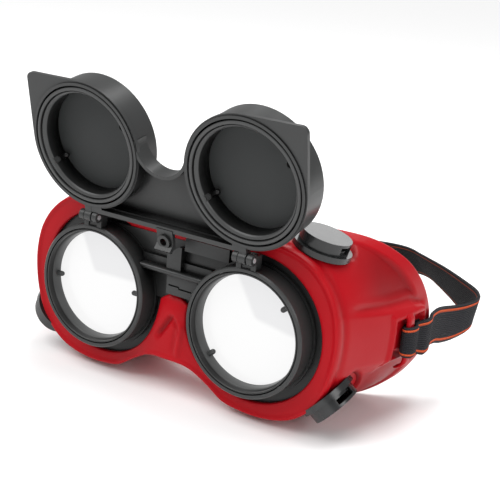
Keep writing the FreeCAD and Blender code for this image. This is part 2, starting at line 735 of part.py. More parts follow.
def nose_hood(inset):
    """A cone over the wearer's nose, wider at its foot."""
    foot = SIZE["nose_width"] / 2 - inset
    top = max(SIZE["nose_top"] / 2 - inset, 0.5)
    y = SIZE["nose_depth"] - SIZE["eye_relief"]
    return Part.makeCone(foot, top, SIZE["nose_high"], V(0, y, -SIZE["nose_low"]), Z_AXIS)


def prism(points, y_low, y_high):
    """A closed outline of (x, z) points, run from y_low to y_high."""
    wire = Part.makePolygon([V(x, y_low, z) for x, z in points + points[:1]])
    return Part.Face(wire).extrude(V(0, y_high - y_low, 0))


def vent_place(level, side):
    """Placement of a vent's base on the mask: its own Z points out, its X to an air window."""
    sizes = [SIZE["vent_%s_%s" % ("upper" if level > 0 else "lower", part)]
             for part in ("x", "depth", "z", "roll", "pitch", "turn")]
    x, at, z = sizes[:3]
    roll, pitch, turn = [math.radians(angle) for angle in sizes[3:]]
    out = V(side * math.sin(roll) * math.cos(pitch), math.sin(pitch),
            level * math.cos(roll) * math.cos(pitch))
    ahead_of_it = (V(0, -1, 0) + out * out.y).normalize()
    beside_it = out.cross(ahead_of_it) * (side * level)
    window = ahead_of_it * math.cos(turn) + beside_it * math.sin(turn)
    turned_to = FreeCAD.Rotation(window, out.cross(window), out, "ZXY")
    return FreeCAD.Placement(V(side * x, at - SIZE["eye_relief"], z), turned_to)


def mask_half_wide(at):
    """Half width of the mask at a depth behind the eyecups' lips."""
    share = (at - SIZE["face_depth"]) / (SIZE["rear_depth"] - SIZE["face_depth"])
    swell = math.sin(share * math.pi / 2)
    return (SIZE["front_wide"] + (SIZE["rear_wide"] - SIZE["front_wide"]) * swell) / 2


def slab(points, z_low, z_high):
    """A closed outline of (x, depth) points, run from z_low to z_high."""
    corners = [V(x, at - SIZE["eye_relief"], z_low) for x, at in points + points[:1]]
    return Part.Face(Part.makePolygon(corners)).extrude(V(0, 0, z_high - z_low))


def lug(side):
    """Raised band along the temple that ends in a bar for the strap to wrap."""
    bar_x = lug_bar_x()
    outer = bar_x + SIZE["lug_bar"]
    bar = SIZE["lug_depth"]
    end = bar + SIZE["lug_bar_long"] + 6.0
    rooted = [(mask_half_wide(at) - SIZE["wall"] / 2, at) for at in (end, bar - 2, 30.0, 14.0)]
    band = slab([(mask_half_wide(14.0) + 0.4, 14.0), (81.6, 27.0), (outer, bar - 8.0)] + rooted[1:],
                -10.5, 11.5)
    centre = SIZE["strap_drop"]
    half = SIZE["strap_wide"] / 2 + SIZE["lug_room"]
    frame = slab([(outer, bar - 8.0), (outer, end), rooted[0], rooted[1]],
                 -centre - half - 2.4, -centre + half + 2.4)
    passage = Part.makeBox(SIZE["lug_out"], end + 20 - bar, 2 * half,
                           V(bar_x - SIZE["lug_out"], bar - 4.5 - SIZE["eye_relief"], -centre - half))
    mouth = Part.makeBox(SIZE["lug_bar"] + 1, 4.5, 2 * half,
                         V(bar_x - 0.1, bar - 4.5 - SIZE["eye_relief"], -centre - half))
    behind = Part.makeBox(SIZE["lug_bar"] + 1, 20, 2 * half,
                          V(bar_x - 0.1, bar + SIZE["lug_bar_long"] - SIZE["eye_relief"], -centre - half))
    solid = band.fuse(frame).cut([passage, mouth, behind])
    return solid if side > 0 else solid.mirror(V(), X_AXIS)


def lug_bar_x():
    """Inner face of the lug's bar."""
    return mask_half_wide(SIZE["lug_depth"]) + 0.4 + SIZE["lug_out"]


def vent_bosses():
    """A thickened seat under each vent."""
    bosses = []
    for level in (1, -1):
        for side in (-1, 1):
            boss = Part.makeCylinder(SIZE["vent_flange"] / 2 + 1.2, SIZE["vent_boss"],
                                     V(0, 0, -SIZE["vent_boss"]), Z_AXIS)
            boss.Placement = vent_place(level, side).multiply(boss.Placement)
            bosses.append(boss)
    return bosses


def mask_body():
    relief = SIZE["eye_relief"]
    wall = SIZE["wall"]
    face = SIZE["face_depth"]
    outer = mask_loft(0.0, face).fuse(nose_hood(0.0))
    inner = mask_loft(wall, face + wall)
    hood_space = nose_hood(wall)
    ridge = face_slab(face - SIZE["ridge_high"], face + 1, 0.0)
    ridge = ridge.cut(face_slab(face - SIZE["ridge_high"] - 1, face + 2, SIZE["ridge_wide"]))
    shell = outer.cut([inner, hood_space]).fuse(ridge)
    lugs = [lug(side) for side in (-1, 1)]
    shell = shell.fuse(lugs + vent_bosses())
    tools = [head_form()]
    room = 0.15
    for side in (-1, 1):
        x = side * SIZE["eye_gap"] / 2
        tools.append(Part.makeCylinder(SIZE["window_dia"] / 2, 60, V(x, -20 - relief, 0), V(0, 1, 0)))
        tools.append(Part.makeCylinder(SIZE["flange_dia"] / 2 + 3 * room,
                                       SIZE["flange_back"] - SIZE["flange_depth"] + 2 * room,
                                       V(x, SIZE["flange_depth"] - room - relief, 0), V(0, 1, 0)))
    foot = SIZE["nose_foot"]
    tools.append(prism([(-10, -foot), (-30, -60), (30, -60), (10, -foot)], -60, 60))
    bridge_room = Part.makeBox(58, 24, SIZE["bridge_top"] - SIZE["bridge_foot"] + 0.6,
                               V(-29, -6 - relief, SIZE["bridge_foot"] - 0.3))
    tools.append(bridge_room)
    for level in (1, -1):
        for side in (-1, 1):
            hole = Part.makeCylinder(SIZE["vent_neck"] / 2 + 0.15, 24, V(0, 0, -12), Z_AXIS)
            hole.Placement = vent_place(level, side).multiply(hole.Placement)
            tools.append(hole)
            seat = Part.makeCylinder(SIZE["vent_flange"] / 2 + 0.2, 12, V(), Z_AXIS)
            seat.Placement = vent_place(level, side)
            tools.append(seat)
    shell = shell.cut(tools)
    solids = sorted(shell.Solids, key=lambda s: s.Volume)
    obj = doc.addObject("Part::Feature", "mask")
    obj.Shape = solids[-1]
    keep(obj, "mask_body")


# ---------------------------------------------------------------- vents


def vent(level_name, level, name, side):
    """A flanged base whose neck passes through the mask, and a cap with air windows."""
    tag = level_name + "_" + name
    place = vent_place(level, side)
    flange = cylinder("vent_flange_" + tag, "sizes.vent_flange", "sizes.vent_flange_thick")
    neck = cylinder("vent_neck_" + tag, "sizes.vent_neck", "sizes.vent_boss + 1.8", "0", "0",
                    "-sizes.vent_boss - 0.8")
    spigot = cylinder("vent_spigot_" + tag, "sizes.vent_cap - 2 * sizes.vent_wall - 0.4", "1.6", "0", "0",
                      "sizes.vent_flange_thick")
    bore = cylinder("vent_bore_" + tag, "sizes.vent_bore", "20", "0", "0", "-8")
    base = cut("vent_base_" + tag, fused("vent_blank_" + tag, [flange, neck, spigot]), [bore])
    base.Placement = place
    keep(base, "vent_base_" + tag)
    shell = cylinder("cap_shell_" + tag, "sizes.vent_cap", "sizes.vent_cap_high", "0", "0",
                     "sizes.vent_flange_thick + 0.05")
    hollow = cylinder("cap_hollow_" + tag, "sizes.vent_cap - 2 * sizes.vent_wall",
                      "sizes.vent_cap_high - sizes.vent_wall", "0", "0",
                      "sizes.vent_flange_thick + 0.05")
    window = block("cap_window_" + tag, ("-20", "20"),
                   ("-sizes.vent_window / 2", "sizes.vent_window / 2"),
                   ("sizes.vent_flange_thick + 0.6",
                    "sizes.vent_flange_thick + sizes.vent_cap_high - sizes.vent_wall"))
    cap = cut("vent_cap_" + tag, shell, [hollow, window])
    cap.Placement = place
    keep(cap, "vent_cap_" + tag)


# ---------------------------------------------------------------- head strap

# The middle of the band's right half as (x, depth) corners, from the lug to the back of the head.
STRAP_HALF = [(88.2, 62.0), (88.4, 100.0), (87.0, 124.0), (75.5, 147.5), (56.0, 166.0), (38.0, 179.5),
              (0.0, 179.5)]


def tilted(obj):
    """Lets the band and its adjuster fall towards the back, turning them about the lugs."""
    pivot = V(0, SIZE["lug_depth"] - SIZE["eye_relief"], 0)
    fall = FreeCAD.Rotation(X_AXIS, -SIZE["strap_tilt"])
    turned_place = FreeCAD.Placement(V(0, 0, -SIZE["strap_drop"]), fall, pivot)
    obj.Placement = turned_place.multiply(obj.Placement)
    return obj


def rounded_path(points):
    """Straight runs joined by tangent arcs, through the corners given."""
    edges = []
    start = points[0]
    for i in range(1, len(points) - 1):
        a = points[i - 1] - points[i]
        b = points[i + 1] - points[i]
        half_turn = (math.pi - a.getAngle(b)) / 2
        reach = 0.45 * min(a.Length, b.Length)
        first = points[i] + V(a).normalize() * reach
        last = points[i] + V(b).normalize() * reach
        radius = reach / math.tan(half_turn)
        inward = (V(a).normalize() + V(b).normalize()).normalize()
        middle = points[i] + inward * (radius / math.cos(half_turn) - radius)
        edges.append(Part.LineSegment(start, first).toShape())
        edges.append(Part.Arc(first, middle, last).toShape())
        start = last
    edges.append(Part.LineSegment(start, points[-1]).toShape())
    return Part.Wire(edges)


def head_strap():
    relief = SIZE["eye_relief"]
    half = [V(x, y - relief, 0) for x, y in STRAP_HALF]
    points = half[:-1] + [V(-p.x, p.y, 0) for p in reversed(half[:-1])]
    path = rounded_path(points)
    thick = SIZE["strap_thick"]
    outer = path.makeOffset2D(thick / 2, 0, False, True)
    inner = path.makeOffset2D(-thick / 2, 0, False, True)
    ends = []
    for i in (0, -1):
        corners = outer.OrderedVertexes[i].Point, inner.OrderedVertexes[i].Point
        ends.append(Part.LineSegment(*corners).toShape())
    band = Part.Face(Part.Wire(Part.__sortEdges__(outer.Edges + inner.Edges + ends)))
    solids = [band.extrude(V(0, 0, SIZE["strap_wide"]))]
    solids[0].translate(V(0, 0, -SIZE["strap_wide"] / 2))
    for side in (-1, 1):
        solids.append(strap_eye(side))
    shape = solids[0].fuse(solids[1:]).removeSplitter()
    obj = doc.addObject("Part::Feature", "strap")
    obj.Shape = shape
    keep(tilted(obj), "head_strap")
    print("strap middle line %.1f mm" % path.Length)


def strap_eye(side):
    """The end of the band, sewn back on itself round the lug's bar."""
    thick = SIZE["strap_thick"]
    gap, long_gap = 0.3, 0.9
    x0 = lug_bar_x() - gap
    y0 = SIZE["lug_depth"] - SIZE["eye_relief"] - long_gap
    wide = SIZE["lug_bar"] + 2 * gap
    long = SIZE["lug_bar_long"] + 2 * long_gap
    high = SIZE["strap_wide"]
    hole = Part.makeBox(wide, long, high + 2, V(x0, y0, -high / 2 - 1))
    shell = Part.makeBox(wide + 2 * thick, long + 2 * thick + 3, high, V(x0 - thick, y0 - thick, -high / 2))
    solid = shell.cut(hole)
    return solid if side > 0 else solid.mirror(V(), X_AXIS)


def strap_slider():
    """Adjuster that the band runs through at the back of the head."""
    y = "%.3f" % (STRAP_HALF[-1][1] - SIZE["eye_relief"])
    body = block(
        "slider_blank",
        ("sizes.slider_x - sizes.slider_long / 2", "sizes.slider_x + sizes.slider_long / 2"),
        (y + " - sizes.slider_thick / 2", y + " + sizes.slider_thick / 2"),
        ("-sizes.slider_wide / 2", "sizes.slider_wide / 2"),
    )
    passage = block(
        "slider_passage",
        ("sizes.slider_x - sizes.slider_long", "sizes.slider_x + sizes.slider_long"),
        (y + " - sizes.strap_thick / 2 - 0.3", y + " + sizes.strap_thick / 2 + 0.3"),
        ("-sizes.strap_wide / 2 - 0.4", "sizes.strap_wide / 2 + 0.4"),
    )
    keep(tilted(cut("slider", body, [passage])), "strap_slider")


# ---------------------------------------------------------------- build and export


# Turn of each ring's first nub from the outward X, in degrees.
CLEAR_NUBS = {"left": 2.0, "right": 41.0}
SHADE_NUB = 152.0


def build():
    mask_body()
    front_frame()
    for name, side in SIDES:
        clear_lens(name, side)
        clear_ring(name, side, CLEAR_NUBS[name])
        hinge_pin(name, side)
    shade_carrier()
    for name, side in SIDES:
        dark_lens(name, side)
        shade_ring(name, side, SHADE_NUB)
    for level_name, level in LEVELS:
        for name, side in SIDES:
            vent(level_name, level, name, side)
    head_strap()
    strap_slider()


def check():
    doc.recompute()
    for obj in doc.Objects:
        for state in ("Invalid", "Error"):
            if state in obj.State:
                raise RuntimeError("%s (%s) is %s" % (obj.Name, obj.Label, obj.State))
    faults = []
    for obj in PARTS:
        if obj.Shape.isNull() or not obj.Shape.isValid():
            faults.append("%s has no valid shape" % obj.Label)
        elif len(obj.Shape.Solids) != 1:
            faults.append("%s has %d solids" % (obj.Label, len(obj.Shape.Solids)))
    if faults:
        raise RuntimeError("; ".join(faults))


def export():
    os.makedirs("parts", exist_ok=True)
    for obj in PARTS:
        obj.Shape.exportStep("parts/%s.step" % obj.Label)
        box = obj.Shape.BoundBox
        print("%-24s %9.1f mm3  x %.1f..%.1f  y %.1f..%.1f  z %.1f..%.1f" % (
            obj.Label, obj.Shape.Volume, box.XMin, box.XMax, box.YMin, box.YMax, box.ZMin, box.ZMax))


build()
check()
export()
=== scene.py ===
import math

import bmesh
import bpy
import numpy as np
from mathutils import Matrix, Vector
from mathutils.geometry import delaunay_2d_cdt


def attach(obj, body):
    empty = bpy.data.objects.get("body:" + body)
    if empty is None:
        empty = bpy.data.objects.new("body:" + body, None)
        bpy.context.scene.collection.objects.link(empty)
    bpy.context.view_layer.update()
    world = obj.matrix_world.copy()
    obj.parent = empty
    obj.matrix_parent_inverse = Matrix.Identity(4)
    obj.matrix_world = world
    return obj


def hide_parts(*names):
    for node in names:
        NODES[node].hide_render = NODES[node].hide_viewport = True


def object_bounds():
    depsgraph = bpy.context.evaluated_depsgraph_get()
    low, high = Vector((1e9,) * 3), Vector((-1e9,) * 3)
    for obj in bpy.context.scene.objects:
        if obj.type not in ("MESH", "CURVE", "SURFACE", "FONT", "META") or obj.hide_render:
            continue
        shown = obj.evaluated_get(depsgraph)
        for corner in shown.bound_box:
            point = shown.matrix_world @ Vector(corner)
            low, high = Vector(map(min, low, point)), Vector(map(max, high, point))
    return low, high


# Flip-up welding goggles: looks. Lengths are millimetres up to at(), which gives Blender its metres;
# lamps, the floor and a material's own distances are in metres from the start.
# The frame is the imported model's: +X across the face, +Y back into the head, +Z up.
# Depths are measured back from the front lips of the eyecups.

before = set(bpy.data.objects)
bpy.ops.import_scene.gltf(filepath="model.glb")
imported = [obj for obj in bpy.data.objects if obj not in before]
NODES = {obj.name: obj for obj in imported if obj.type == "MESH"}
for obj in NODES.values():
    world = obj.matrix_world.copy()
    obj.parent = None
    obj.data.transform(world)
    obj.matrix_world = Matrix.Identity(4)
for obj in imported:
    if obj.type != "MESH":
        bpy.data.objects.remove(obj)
cad_box = [list(corner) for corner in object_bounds()]

MM = 0.001
RELIEF = 36.0           # front lips of the eyecups to the face
EYE = 38.15             # each lens axis from the middle
SIDES = (("left", -1), ("right", 1))
HINGE_DEPTH = -1.35     # the shade's hinge axis
HINGE_HIGH = 31.53
SHADE_FACE = -0.3       # depth of the shade's inner face when it is closed
RAISED = math.radians(167.9)
SHADE_NUB = 150.0       # turn of each dark ring's first nub, in degrees


def at(x, depth, z):
    """A point in metres from across, depth and height in millimetres."""
    return Vector((x, depth - RELIEF, z)) * MM


def raised(x, ahead, z):
    """(x, depth, z) on the raised shade, of a point drawn on the closed one, ahead of its inner face."""
    depth, rise = SHADE_FACE - ahead - HINGE_DEPTH, z - HINGE_HIGH
    cos, sin = math.cos(RAISED), math.sin(RAISED)
    return x, HINGE_DEPTH + depth * cos + rise * sin, HINGE_HIGH - depth * sin + rise * cos


# ---------------------------------------------------------------- camera, light and floor

LIT_POINT = Vector((0, 0.02, 0.02))
FLOOR_HALF = 6.0        # metres
FLOOR_GAP = 0.0005


def add_camera():
    """The camera at the photo's angle, rolled as the photo is."""
    data = bpy.data.cameras.new("camera")
    data.lens = 78.81
    data.sensor_width = 36
    data.clip_start = 0.01
    data.clip_end = 20
    camera = bpy.data.objects.new("camera", data)
    bpy.context.collection.objects.link(camera)
    eye = at(242.1, -344.85, 158.92)
    target = at(38.52, 0, 34.84)
    turn = (target - eye).to_track_quat("-Z", "Y").to_matrix()
    roll = Matrix.Rotation(math.radians(5.296), 3, "Z")
    camera.matrix_world = Matrix.Translation(eye) @ (turn @ roll).to_4x4()
    bpy.context.scene.camera = camera


def add_light(name, kind, place, size, power):
    """A lamp at a place in metres that points at the goggles; a sun's size is its angle in degrees."""
    data = bpy.data.lights.new(name, kind)
    data.energy = power
    if kind == "SUN":
        data.angle = math.radians(size)
    else:
        data.size = size
    lamp = bpy.data.objects.new(name, data)
    bpy.context.collection.objects.link(lamp)
    lamp.location = place
    towards = LIT_POINT - lamp.location
    lamp.rotation_euler = towards.to_track_quat("-Z", "Y").to_euler()


def add_studio():
    """An even pale sky, a soft key light, and softer ones from the right, above and behind."""
    world = bpy.data.worlds.new("studio")
    world.use_nodes = True
    background = world.node_tree.nodes["Background"]
    background.inputs["Color"].default_value = (1, 1, 1, 1)
    background.inputs["Strength"].default_value = 0.42
    bpy.context.scene.world = world
    bpy.context.scene.view_settings.view_transform = "Standard"
    add_light("key", "SUN", Vector((-0.5, -0.65, 1.2)), 50, 2.4)
    add_light("fill", "AREA", Vector((0.85, -0.45, 0.5)), 0.5, 3)
    add_light("top", "AREA", Vector((0.1, 0.25, 1.1)), 0.6, 7)
    add_light("back", "AREA", Vector((-0.26, 0.98, 0.42)), 0.6, 2)


def add_floor():
    """A plain pale floor just under the goggles."""
    mesh = bpy.data.meshes.new("floor")
    low = cad_box[0][2] - FLOOR_GAP
    corners = [(x * FLOOR_HALF, y * FLOOR_HALF, low) for x, y in ((-1, -1), (1, -1), (1, 1), (-1, 1))]
    mesh.from_pydata(corners, [], [(0, 1, 2, 3)])
    floor = bpy.data.objects.new("floor", mesh)
    bpy.context.collection.objects.link(floor)
    mesh.materials.append(plain("floor_paint", (0.92, 0.92, 0.92), 0.8))


# ---------------------------------------------------------------- materials

GRAIN_DEPTH = 0.0003    # metres
# The wedge on a clear lens is a painted reflection.
WEDGE_BLUR = 1.4        # half width of the soft edge of a clear lens's wedge
STRIPE_PLACE = 0.388    # a stripe from the webbing's middle, as a share of its width
STRIPE_HALF = 0.032     # half a stripe's width, and its blur, as the same share
STRIPE_BLUR = 0.004
RIBS = 18               # across the webbing
THREADS = 130           # in each UV_LENGTH of webbing


def plain(name, colour, roughness):
    """A material of one colour and one roughness."""
    material = bpy.data.materials.new(name)
    material.use_nodes = True
    shader = material.node_tree.nodes["Principled BSDF"]
    shader.inputs["Base Color"].default_value = (*colour, 1)
    shader.inputs["Roughness"].default_value = roughness
    return material


def math_node(tree, operation, first, second=0):
    """A math node's output, from two sockets or numbers."""
    node = tree.nodes.new("ShaderNodeMath")
    node.operation = operation
    for socket, value in zip(node.inputs, (first, second)):
        if isinstance(value, (int, float)):
            socket.default_value = value
        else:
            tree.links.new(value, socket)
    return node.outputs["Value"]


def wave(tree, source, count):
    """The sine of a coordinate, with count waves in each unit of it."""
    return math_node(tree, "SINE", math_node(tree, "MULTIPLY", source, 2 * math.pi * count))


def ranged(tree, source, start, end, low=0, high=1, easing="LINEAR"):
    """A value taken from the range start to end over to the range low to high."""
    node = tree.nodes.new("ShaderNodeMapRange")
    node.interpolation_type = easing
    node.inputs["From Min"].default_value = start
    node.inputs["From Max"].default_value = end
    node.inputs["To Min"].default_value = low
    node.inputs["To Max"].default_value = high
    tree.links.new(source, node.inputs["Value"])
    return node.outputs["Result"]


def mixed(tree, share, first, second):
    """A colour between first, a colour or a socket, and second, a colour."""
    node = tree.nodes.new("ShaderNodeMix")
    node.data_type = "RGBA"
    factor, start, end, result = node.inputs[0], node.inputs[6], node.inputs[7], node.outputs[2]
    if isinstance(first, tuple):
        start.default_value = (*first, 1)
    else:
        tree.links.new(first, start)
    end.default_value = (*second, 1)
    tree.links.new(share, factor)
    return result


def scaled(tree, colour, share):
    """A colour times a number."""
    node = tree.nodes.new("ShaderNodeVectorMath")
    node.operation = "SCALE"
    tree.links.new(colour, node.inputs[0])
    tree.links.new(share, node.inputs["Scale"])
    return node.outputs["Vector"]


def noise(tree, place, scale, detail):
    """Cloudy noise from 0 to 1."""
    node = tree.nodes.new("ShaderNodeTexNoise")
    node.inputs["Scale"].default_value = scale
    node.inputs["Detail"].default_value = detail
    tree.links.new(place, node.inputs["Vector"])
    return node.outputs["Fac"]


def tone_of(tree):
    """A piece's "tone" attribute, its share of painted shade, which is 0 where the piece has none."""
    node = tree.nodes.new("ShaderNodeAttribute")
    node.attribute_name = "tone"
    return node.outputs["Fac"]


def painted_hollow_shade(tree, reach):
    """Painted shade: 1 on a piece's open faces, near 0 in its own corners and hollows; reach is in metres.
    """
    node = tree.nodes.new("ShaderNodeAmbientOcclusion")
    node.only_local = True
    node.samples = 8
    node.inputs["Distance"].default_value = reach
    return ranged(tree, node.outputs["AO"], 0.42, 0.94, low=0.06)


def add_relief(tree, height, strength):
    """A fine bump on the surface, from a height of 0 to 1."""
    node = tree.nodes.new("ShaderNodeBump")
    node.inputs["Strength"].default_value = strength
    node.inputs["Distance"].default_value = GRAIN_DEPTH
    tree.links.new(height, node.inputs["Height"])
    tree.links.new(node.outputs["Normal"], tree.nodes["Principled BSDF"].inputs["Normal"])


def moulded(name, colour, other, roughness, grain, bump, shade_colour=None, hollow_shade_reach=None, **values):
    """A moulded plastic or rubber: soft colour drift, uneven gloss and a fine surface grain.

    The colour given for painted shade fills the piece where its "tone" attribute is 1, and the reach given
    in metres is how far painted shade darkens the piece's own corners and hollows.
    """
    material = plain(name, colour, roughness)
    tree = material.node_tree
    shader = tree.nodes["Principled BSDF"]
    for socket, value in values.items():
        shader.inputs[socket.replace("_", " ")].default_value = value
    place = tree.nodes.new("ShaderNodeTexCoord").outputs["Object"]
    drift = noise(tree, place, 45, 5)
    tint = mixed(tree, drift, colour, other)
    # Painted shade: the piece turns towards the shade colour where its tone is high.
    if shade_colour:
        tint = mixed(tree, tone_of(tree), tint, shade_colour)
    # Painted shade from ambient occlusion in the piece's own corners and hollows.
    if hollow_shade_reach:
        tint = scaled(tree, tint, painted_hollow_shade(tree, hollow_shade_reach))
    gloss = ranged(tree, drift, 0, 1, roughness * 0.8, roughness * 1.25)
    tree.links.new(tint, shader.inputs["Base Color"])
    tree.links.new(gloss, shader.inputs["Roughness"])
    add_relief(tree, noise(tree, place, grain, 3), bump)
    return material


def lens_glass(name, x, apex, above, beside):
    """A clear lens at x that glows pale and even with painted light, with a painted reflection: a faint
    grey wedge between two lines that leave its apex.

    The lines run to the points above and beside. All points are (across, height) from the lens's axis.
    """
    material = plain(name, (0.1, 0.1, 0.1), 0.12)
    tree = material.node_tree
    shader = tree.nodes["Principled BSDF"]
    shader.inputs["Specular IOR Level"].default_value = 0.3
    # The lens glows: painted light, so that it looks pale and even all over.
    shader.inputs["Emission Strength"].default_value = 0.86
    place = tree.nodes.new("ShaderNodeTexCoord")
    split = tree.nodes.new("ShaderNodeSeparateXYZ")
    tree.links.new(place.outputs["Object"], split.inputs["Vector"])
    shares = []
    for end, turn in ((above, -1), (beside, 1)):
        run, rise = end[0] - apex[0], end[1] - apex[1]
        length = math.hypot(run, rise)
        across, up = -turn * rise / length, turn * run / length
        offset = across * (x + apex[0]) + up * apex[1]
        along_x = math_node(tree, "MULTIPLY", split.outputs["X"], across / MM)
        along_z = math_node(tree, "MULTIPLY", split.outputs["Z"], up / MM)
        distance = math_node(tree, "SUBTRACT", math_node(tree, "ADD", along_x, along_z), offset)
        shares.append(ranged(tree, distance, -WEDGE_BLUR, WEDGE_BLUR, easing="SMOOTHSTEP"))
    # The wedge is a painted reflection, fixed on the lens.
    wedge = math_node(tree, "MULTIPLY", *shares)
    glow = mixed(tree, wedge, (0.97, 0.97, 0.97), (0.82, 0.82, 0.83))
    tree.links.new(glow, shader.inputs["Emission Color"])
    return material


def woven(name):
    """Black elastic webbing: lengthwise ribs, a fine cross weave and an orange stripe along each edge.

    Its inner face, where "tone" is 1, is darker with painted shade and its stripes are half as wide.
    """
    material = plain(name, (0.02, 0.02, 0.023), 0.85)
    tree = material.node_tree
    shader = tree.nodes["Principled BSDF"]
    shader.inputs["Sheen Weight"].default_value = 0.04
    shader.inputs["Specular IOR Level"].default_value = 0.1
    uv = tree.nodes.new("ShaderNodeUVMap")
    uv.uv_map = "UVMap"
    split = tree.nodes.new("ShaderNodeSeparateXYZ")
    tree.links.new(uv.outputs["UV"], split.inputs["Vector"])
    along, across = split.outputs["X"], split.outputs["Y"]
    inner = tone_of(tree)
    off_middle = math_node(tree, "ABSOLUTE", math_node(tree, "SUBTRACT", across, 0.5))
    off_stripe = math_node(tree, "ABSOLUTE", math_node(tree, "SUBTRACT", off_middle, STRIPE_PLACE))
    narrower = math_node(tree, "MULTIPLY", inner, STRIPE_HALF / 2)
    outside = math_node(tree, "SUBTRACT", off_stripe, math_node(tree, "SUBTRACT", STRIPE_HALF, narrower))
    stripe = ranged(tree, outside, STRIPE_BLUR, -STRIPE_BLUR)
    cloth = mixed(tree, stripe, (0.022, 0.022, 0.026), (0.7, 0.1, 0.03))
    ribs = wave(tree, across, RIBS)
    thread = math_node(tree, "ADD", ribs, math_node(tree, "MULTIPLY", ribs, wave(tree, along, THREADS)))
    # Thread tops lighter and the hollows of the weave darker: painted light and shade that follow its
    # bump.
    light = ranged(tree, thread, -1.5, 1.5, 0.5, 1.5)
    # Painted shade on the inner face.
    shadow = math_node(tree, "SUBTRACT", 1, math_node(tree, "MULTIPLY", inner, 0.75))
    weave = scaled(tree, cloth, math_node(tree, "MULTIPLY", light, shadow))
    tree.links.new(weave, shader.inputs["Base Color"])
    add_relief(tree, thread, 0.8)
    return material


# The second, darker colour of the red and of the rings' black is painted shade for recesses, creases and
# inner walls.
RED = moulded("soft_red_pvc", (0.4, 0.004, 0.009), (0.36, 0.003, 0.008), 0.36, 900, 0.1,
              shade_colour=(0.24, 0.003, 0.006), Specular_IOR_Level=0.13)
# The gloss black takes painted shade in its own corners and hollows.
BLACK = moulded("gloss_black", (0.04, 0.041, 0.041), (0.034, 0.035, 0.035), 0.3, 600, 0.04,
                hollow_shade_reach=0.013, Specular_IOR_Level=0.3)
RING = moulded("ring_black", (0.062, 0.063, 0.063), (0.05, 0.051, 0.051), 0.3, 800, 0.05,
               shade_colour=(0.003, 0.003, 0.003), Specular_IOR_Level=0.3)
VENT = moulded("vent_black", (0.018, 0.019, 0.02), (0.014, 0.015, 0.015), 0.24, 700, 0.08,
               Specular_IOR_Level=0.5)
RUBBER = moulded("black_rubber", (0.014, 0.014, 0.014), (0.02, 0.02, 0.02), 0.7, 900, 0.2)
CLEAR_LEFT = lens_glass("clear_glass_left", -EYE, (-4.1, 4.4), (-10.8, 18.4), (17.1, 4.8))
CLEAR_RIGHT = lens_glass("clear_glass_right", EYE, (1.4, 5.1), (-7.4, 19.8), (18.2, 2.3))
DARK = moulded("dark_glass", (0.04, 0.042, 0.042), (0.036, 0.038, 0.038), 0.5, 60, 0.02,
               Specular_IOR_Level=0.15)
STEEL = moulded("pin_steel", (0.55, 0.55, 0.56), (0.45, 0.45, 0.46), 0.4, 900, 0.1, Metallic=0.4)
WEBBING = woven("webbing")

# The start of a CAD node's name, and its material.
NODE_LOOKS = (
    ("mask_body", RED),
    ("front_frame", BLACK),
    ("shade_carrier", BLACK),
    ("lens_ring", RING),
    ("shade_ring", RING),
    ("clear_lens_left", CLEAR_LEFT),
    ("clear_lens_right", CLEAR_RIGHT),
    ("shade_lens", DARK),
    ("lens_gasket", RUBBER),
    ("shade_gasket", RUBBER),
    ("hinge_pin", STEEL),
    ("vent_", VENT),
    ("head_strap", WEBBING),
    ("strap_slider", VENT),
)


def nodes_named(start):
    """The CAD nodes whose names begin with start."""
    return [node for name, node in NODES.items() if name.startswith(start)]


for start, material in NODE_LOOKS:
    for node in nodes_named(start):
        for slot in node.material_slots:
            slot.material = material


# ---------------------------------------------------------------- mesh helpers

SHARP = 32              # edges that turn by more degrees than this are rounded


def new_piece(name, points, faces, material, tone=None, uv=None, body="goggles"):
    """A smooth mesh piece. tone is a share of painted shade for each point, which on the strap also marks
    its inner face; uv is one (u, v) for each point.
    """
    mesh = bpy.data.meshes.new(name)
    mesh.from_pydata([tuple(p) for p in points], [], faces)
    mesh.validate()
    mesh.polygons.foreach_set("use_smooth", [True] * len(mesh.polygons))
    mesh.materials.append(material)
    if tone is not None:
        layer = mesh.attributes.new("tone", "FLOAT", "POINT")
        layer.data.foreach_set("value", tone)
    if uv is not None:
        layer = mesh.uv_layers.new(name="UVMap")
        spots = [uv[loop.vertex_index] for loop in mesh.loops]
        layer.data.foreach_set("uv", [value for spot in spots for value in spot])
    mesh.update()
    obj = bpy.data.objects.new(name, mesh)
    bpy.context.collection.objects.link(obj)
    outside_out(obj)
    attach(obj, body)
    return obj


def outside_out(obj):
    """Turns the faces outwards."""
    shape = bmesh.new()
    shape.from_mesh(obj.data)
    bmesh.ops.recalc_face_normals(shape, faces=shape.faces)
    shape.to_mesh(obj.data)
    shape.free()


def soften(node, width):
    """Rounds a CAD piece's sharp edges."""
    bevel = node.modifiers.new("edges", "BEVEL")
    bevel.width = width * MM
    bevel.segments = 2
    bevel.limit_method = "ANGLE"
    bevel.angle_limit = math.radians(SHARP)
    bevel.use_clamp_overlap = True
    bevel.harden_normals = True


# ---------------------------------------------------------------- soft mask
# The mask is one closed skin: an outer and an inner wall that run from the front outline back to the
# head, and a front wall with an opening round the eyecups. Its outline is symmetric, so each list
# holds the right half from top middle to bottom middle, as (across, height).

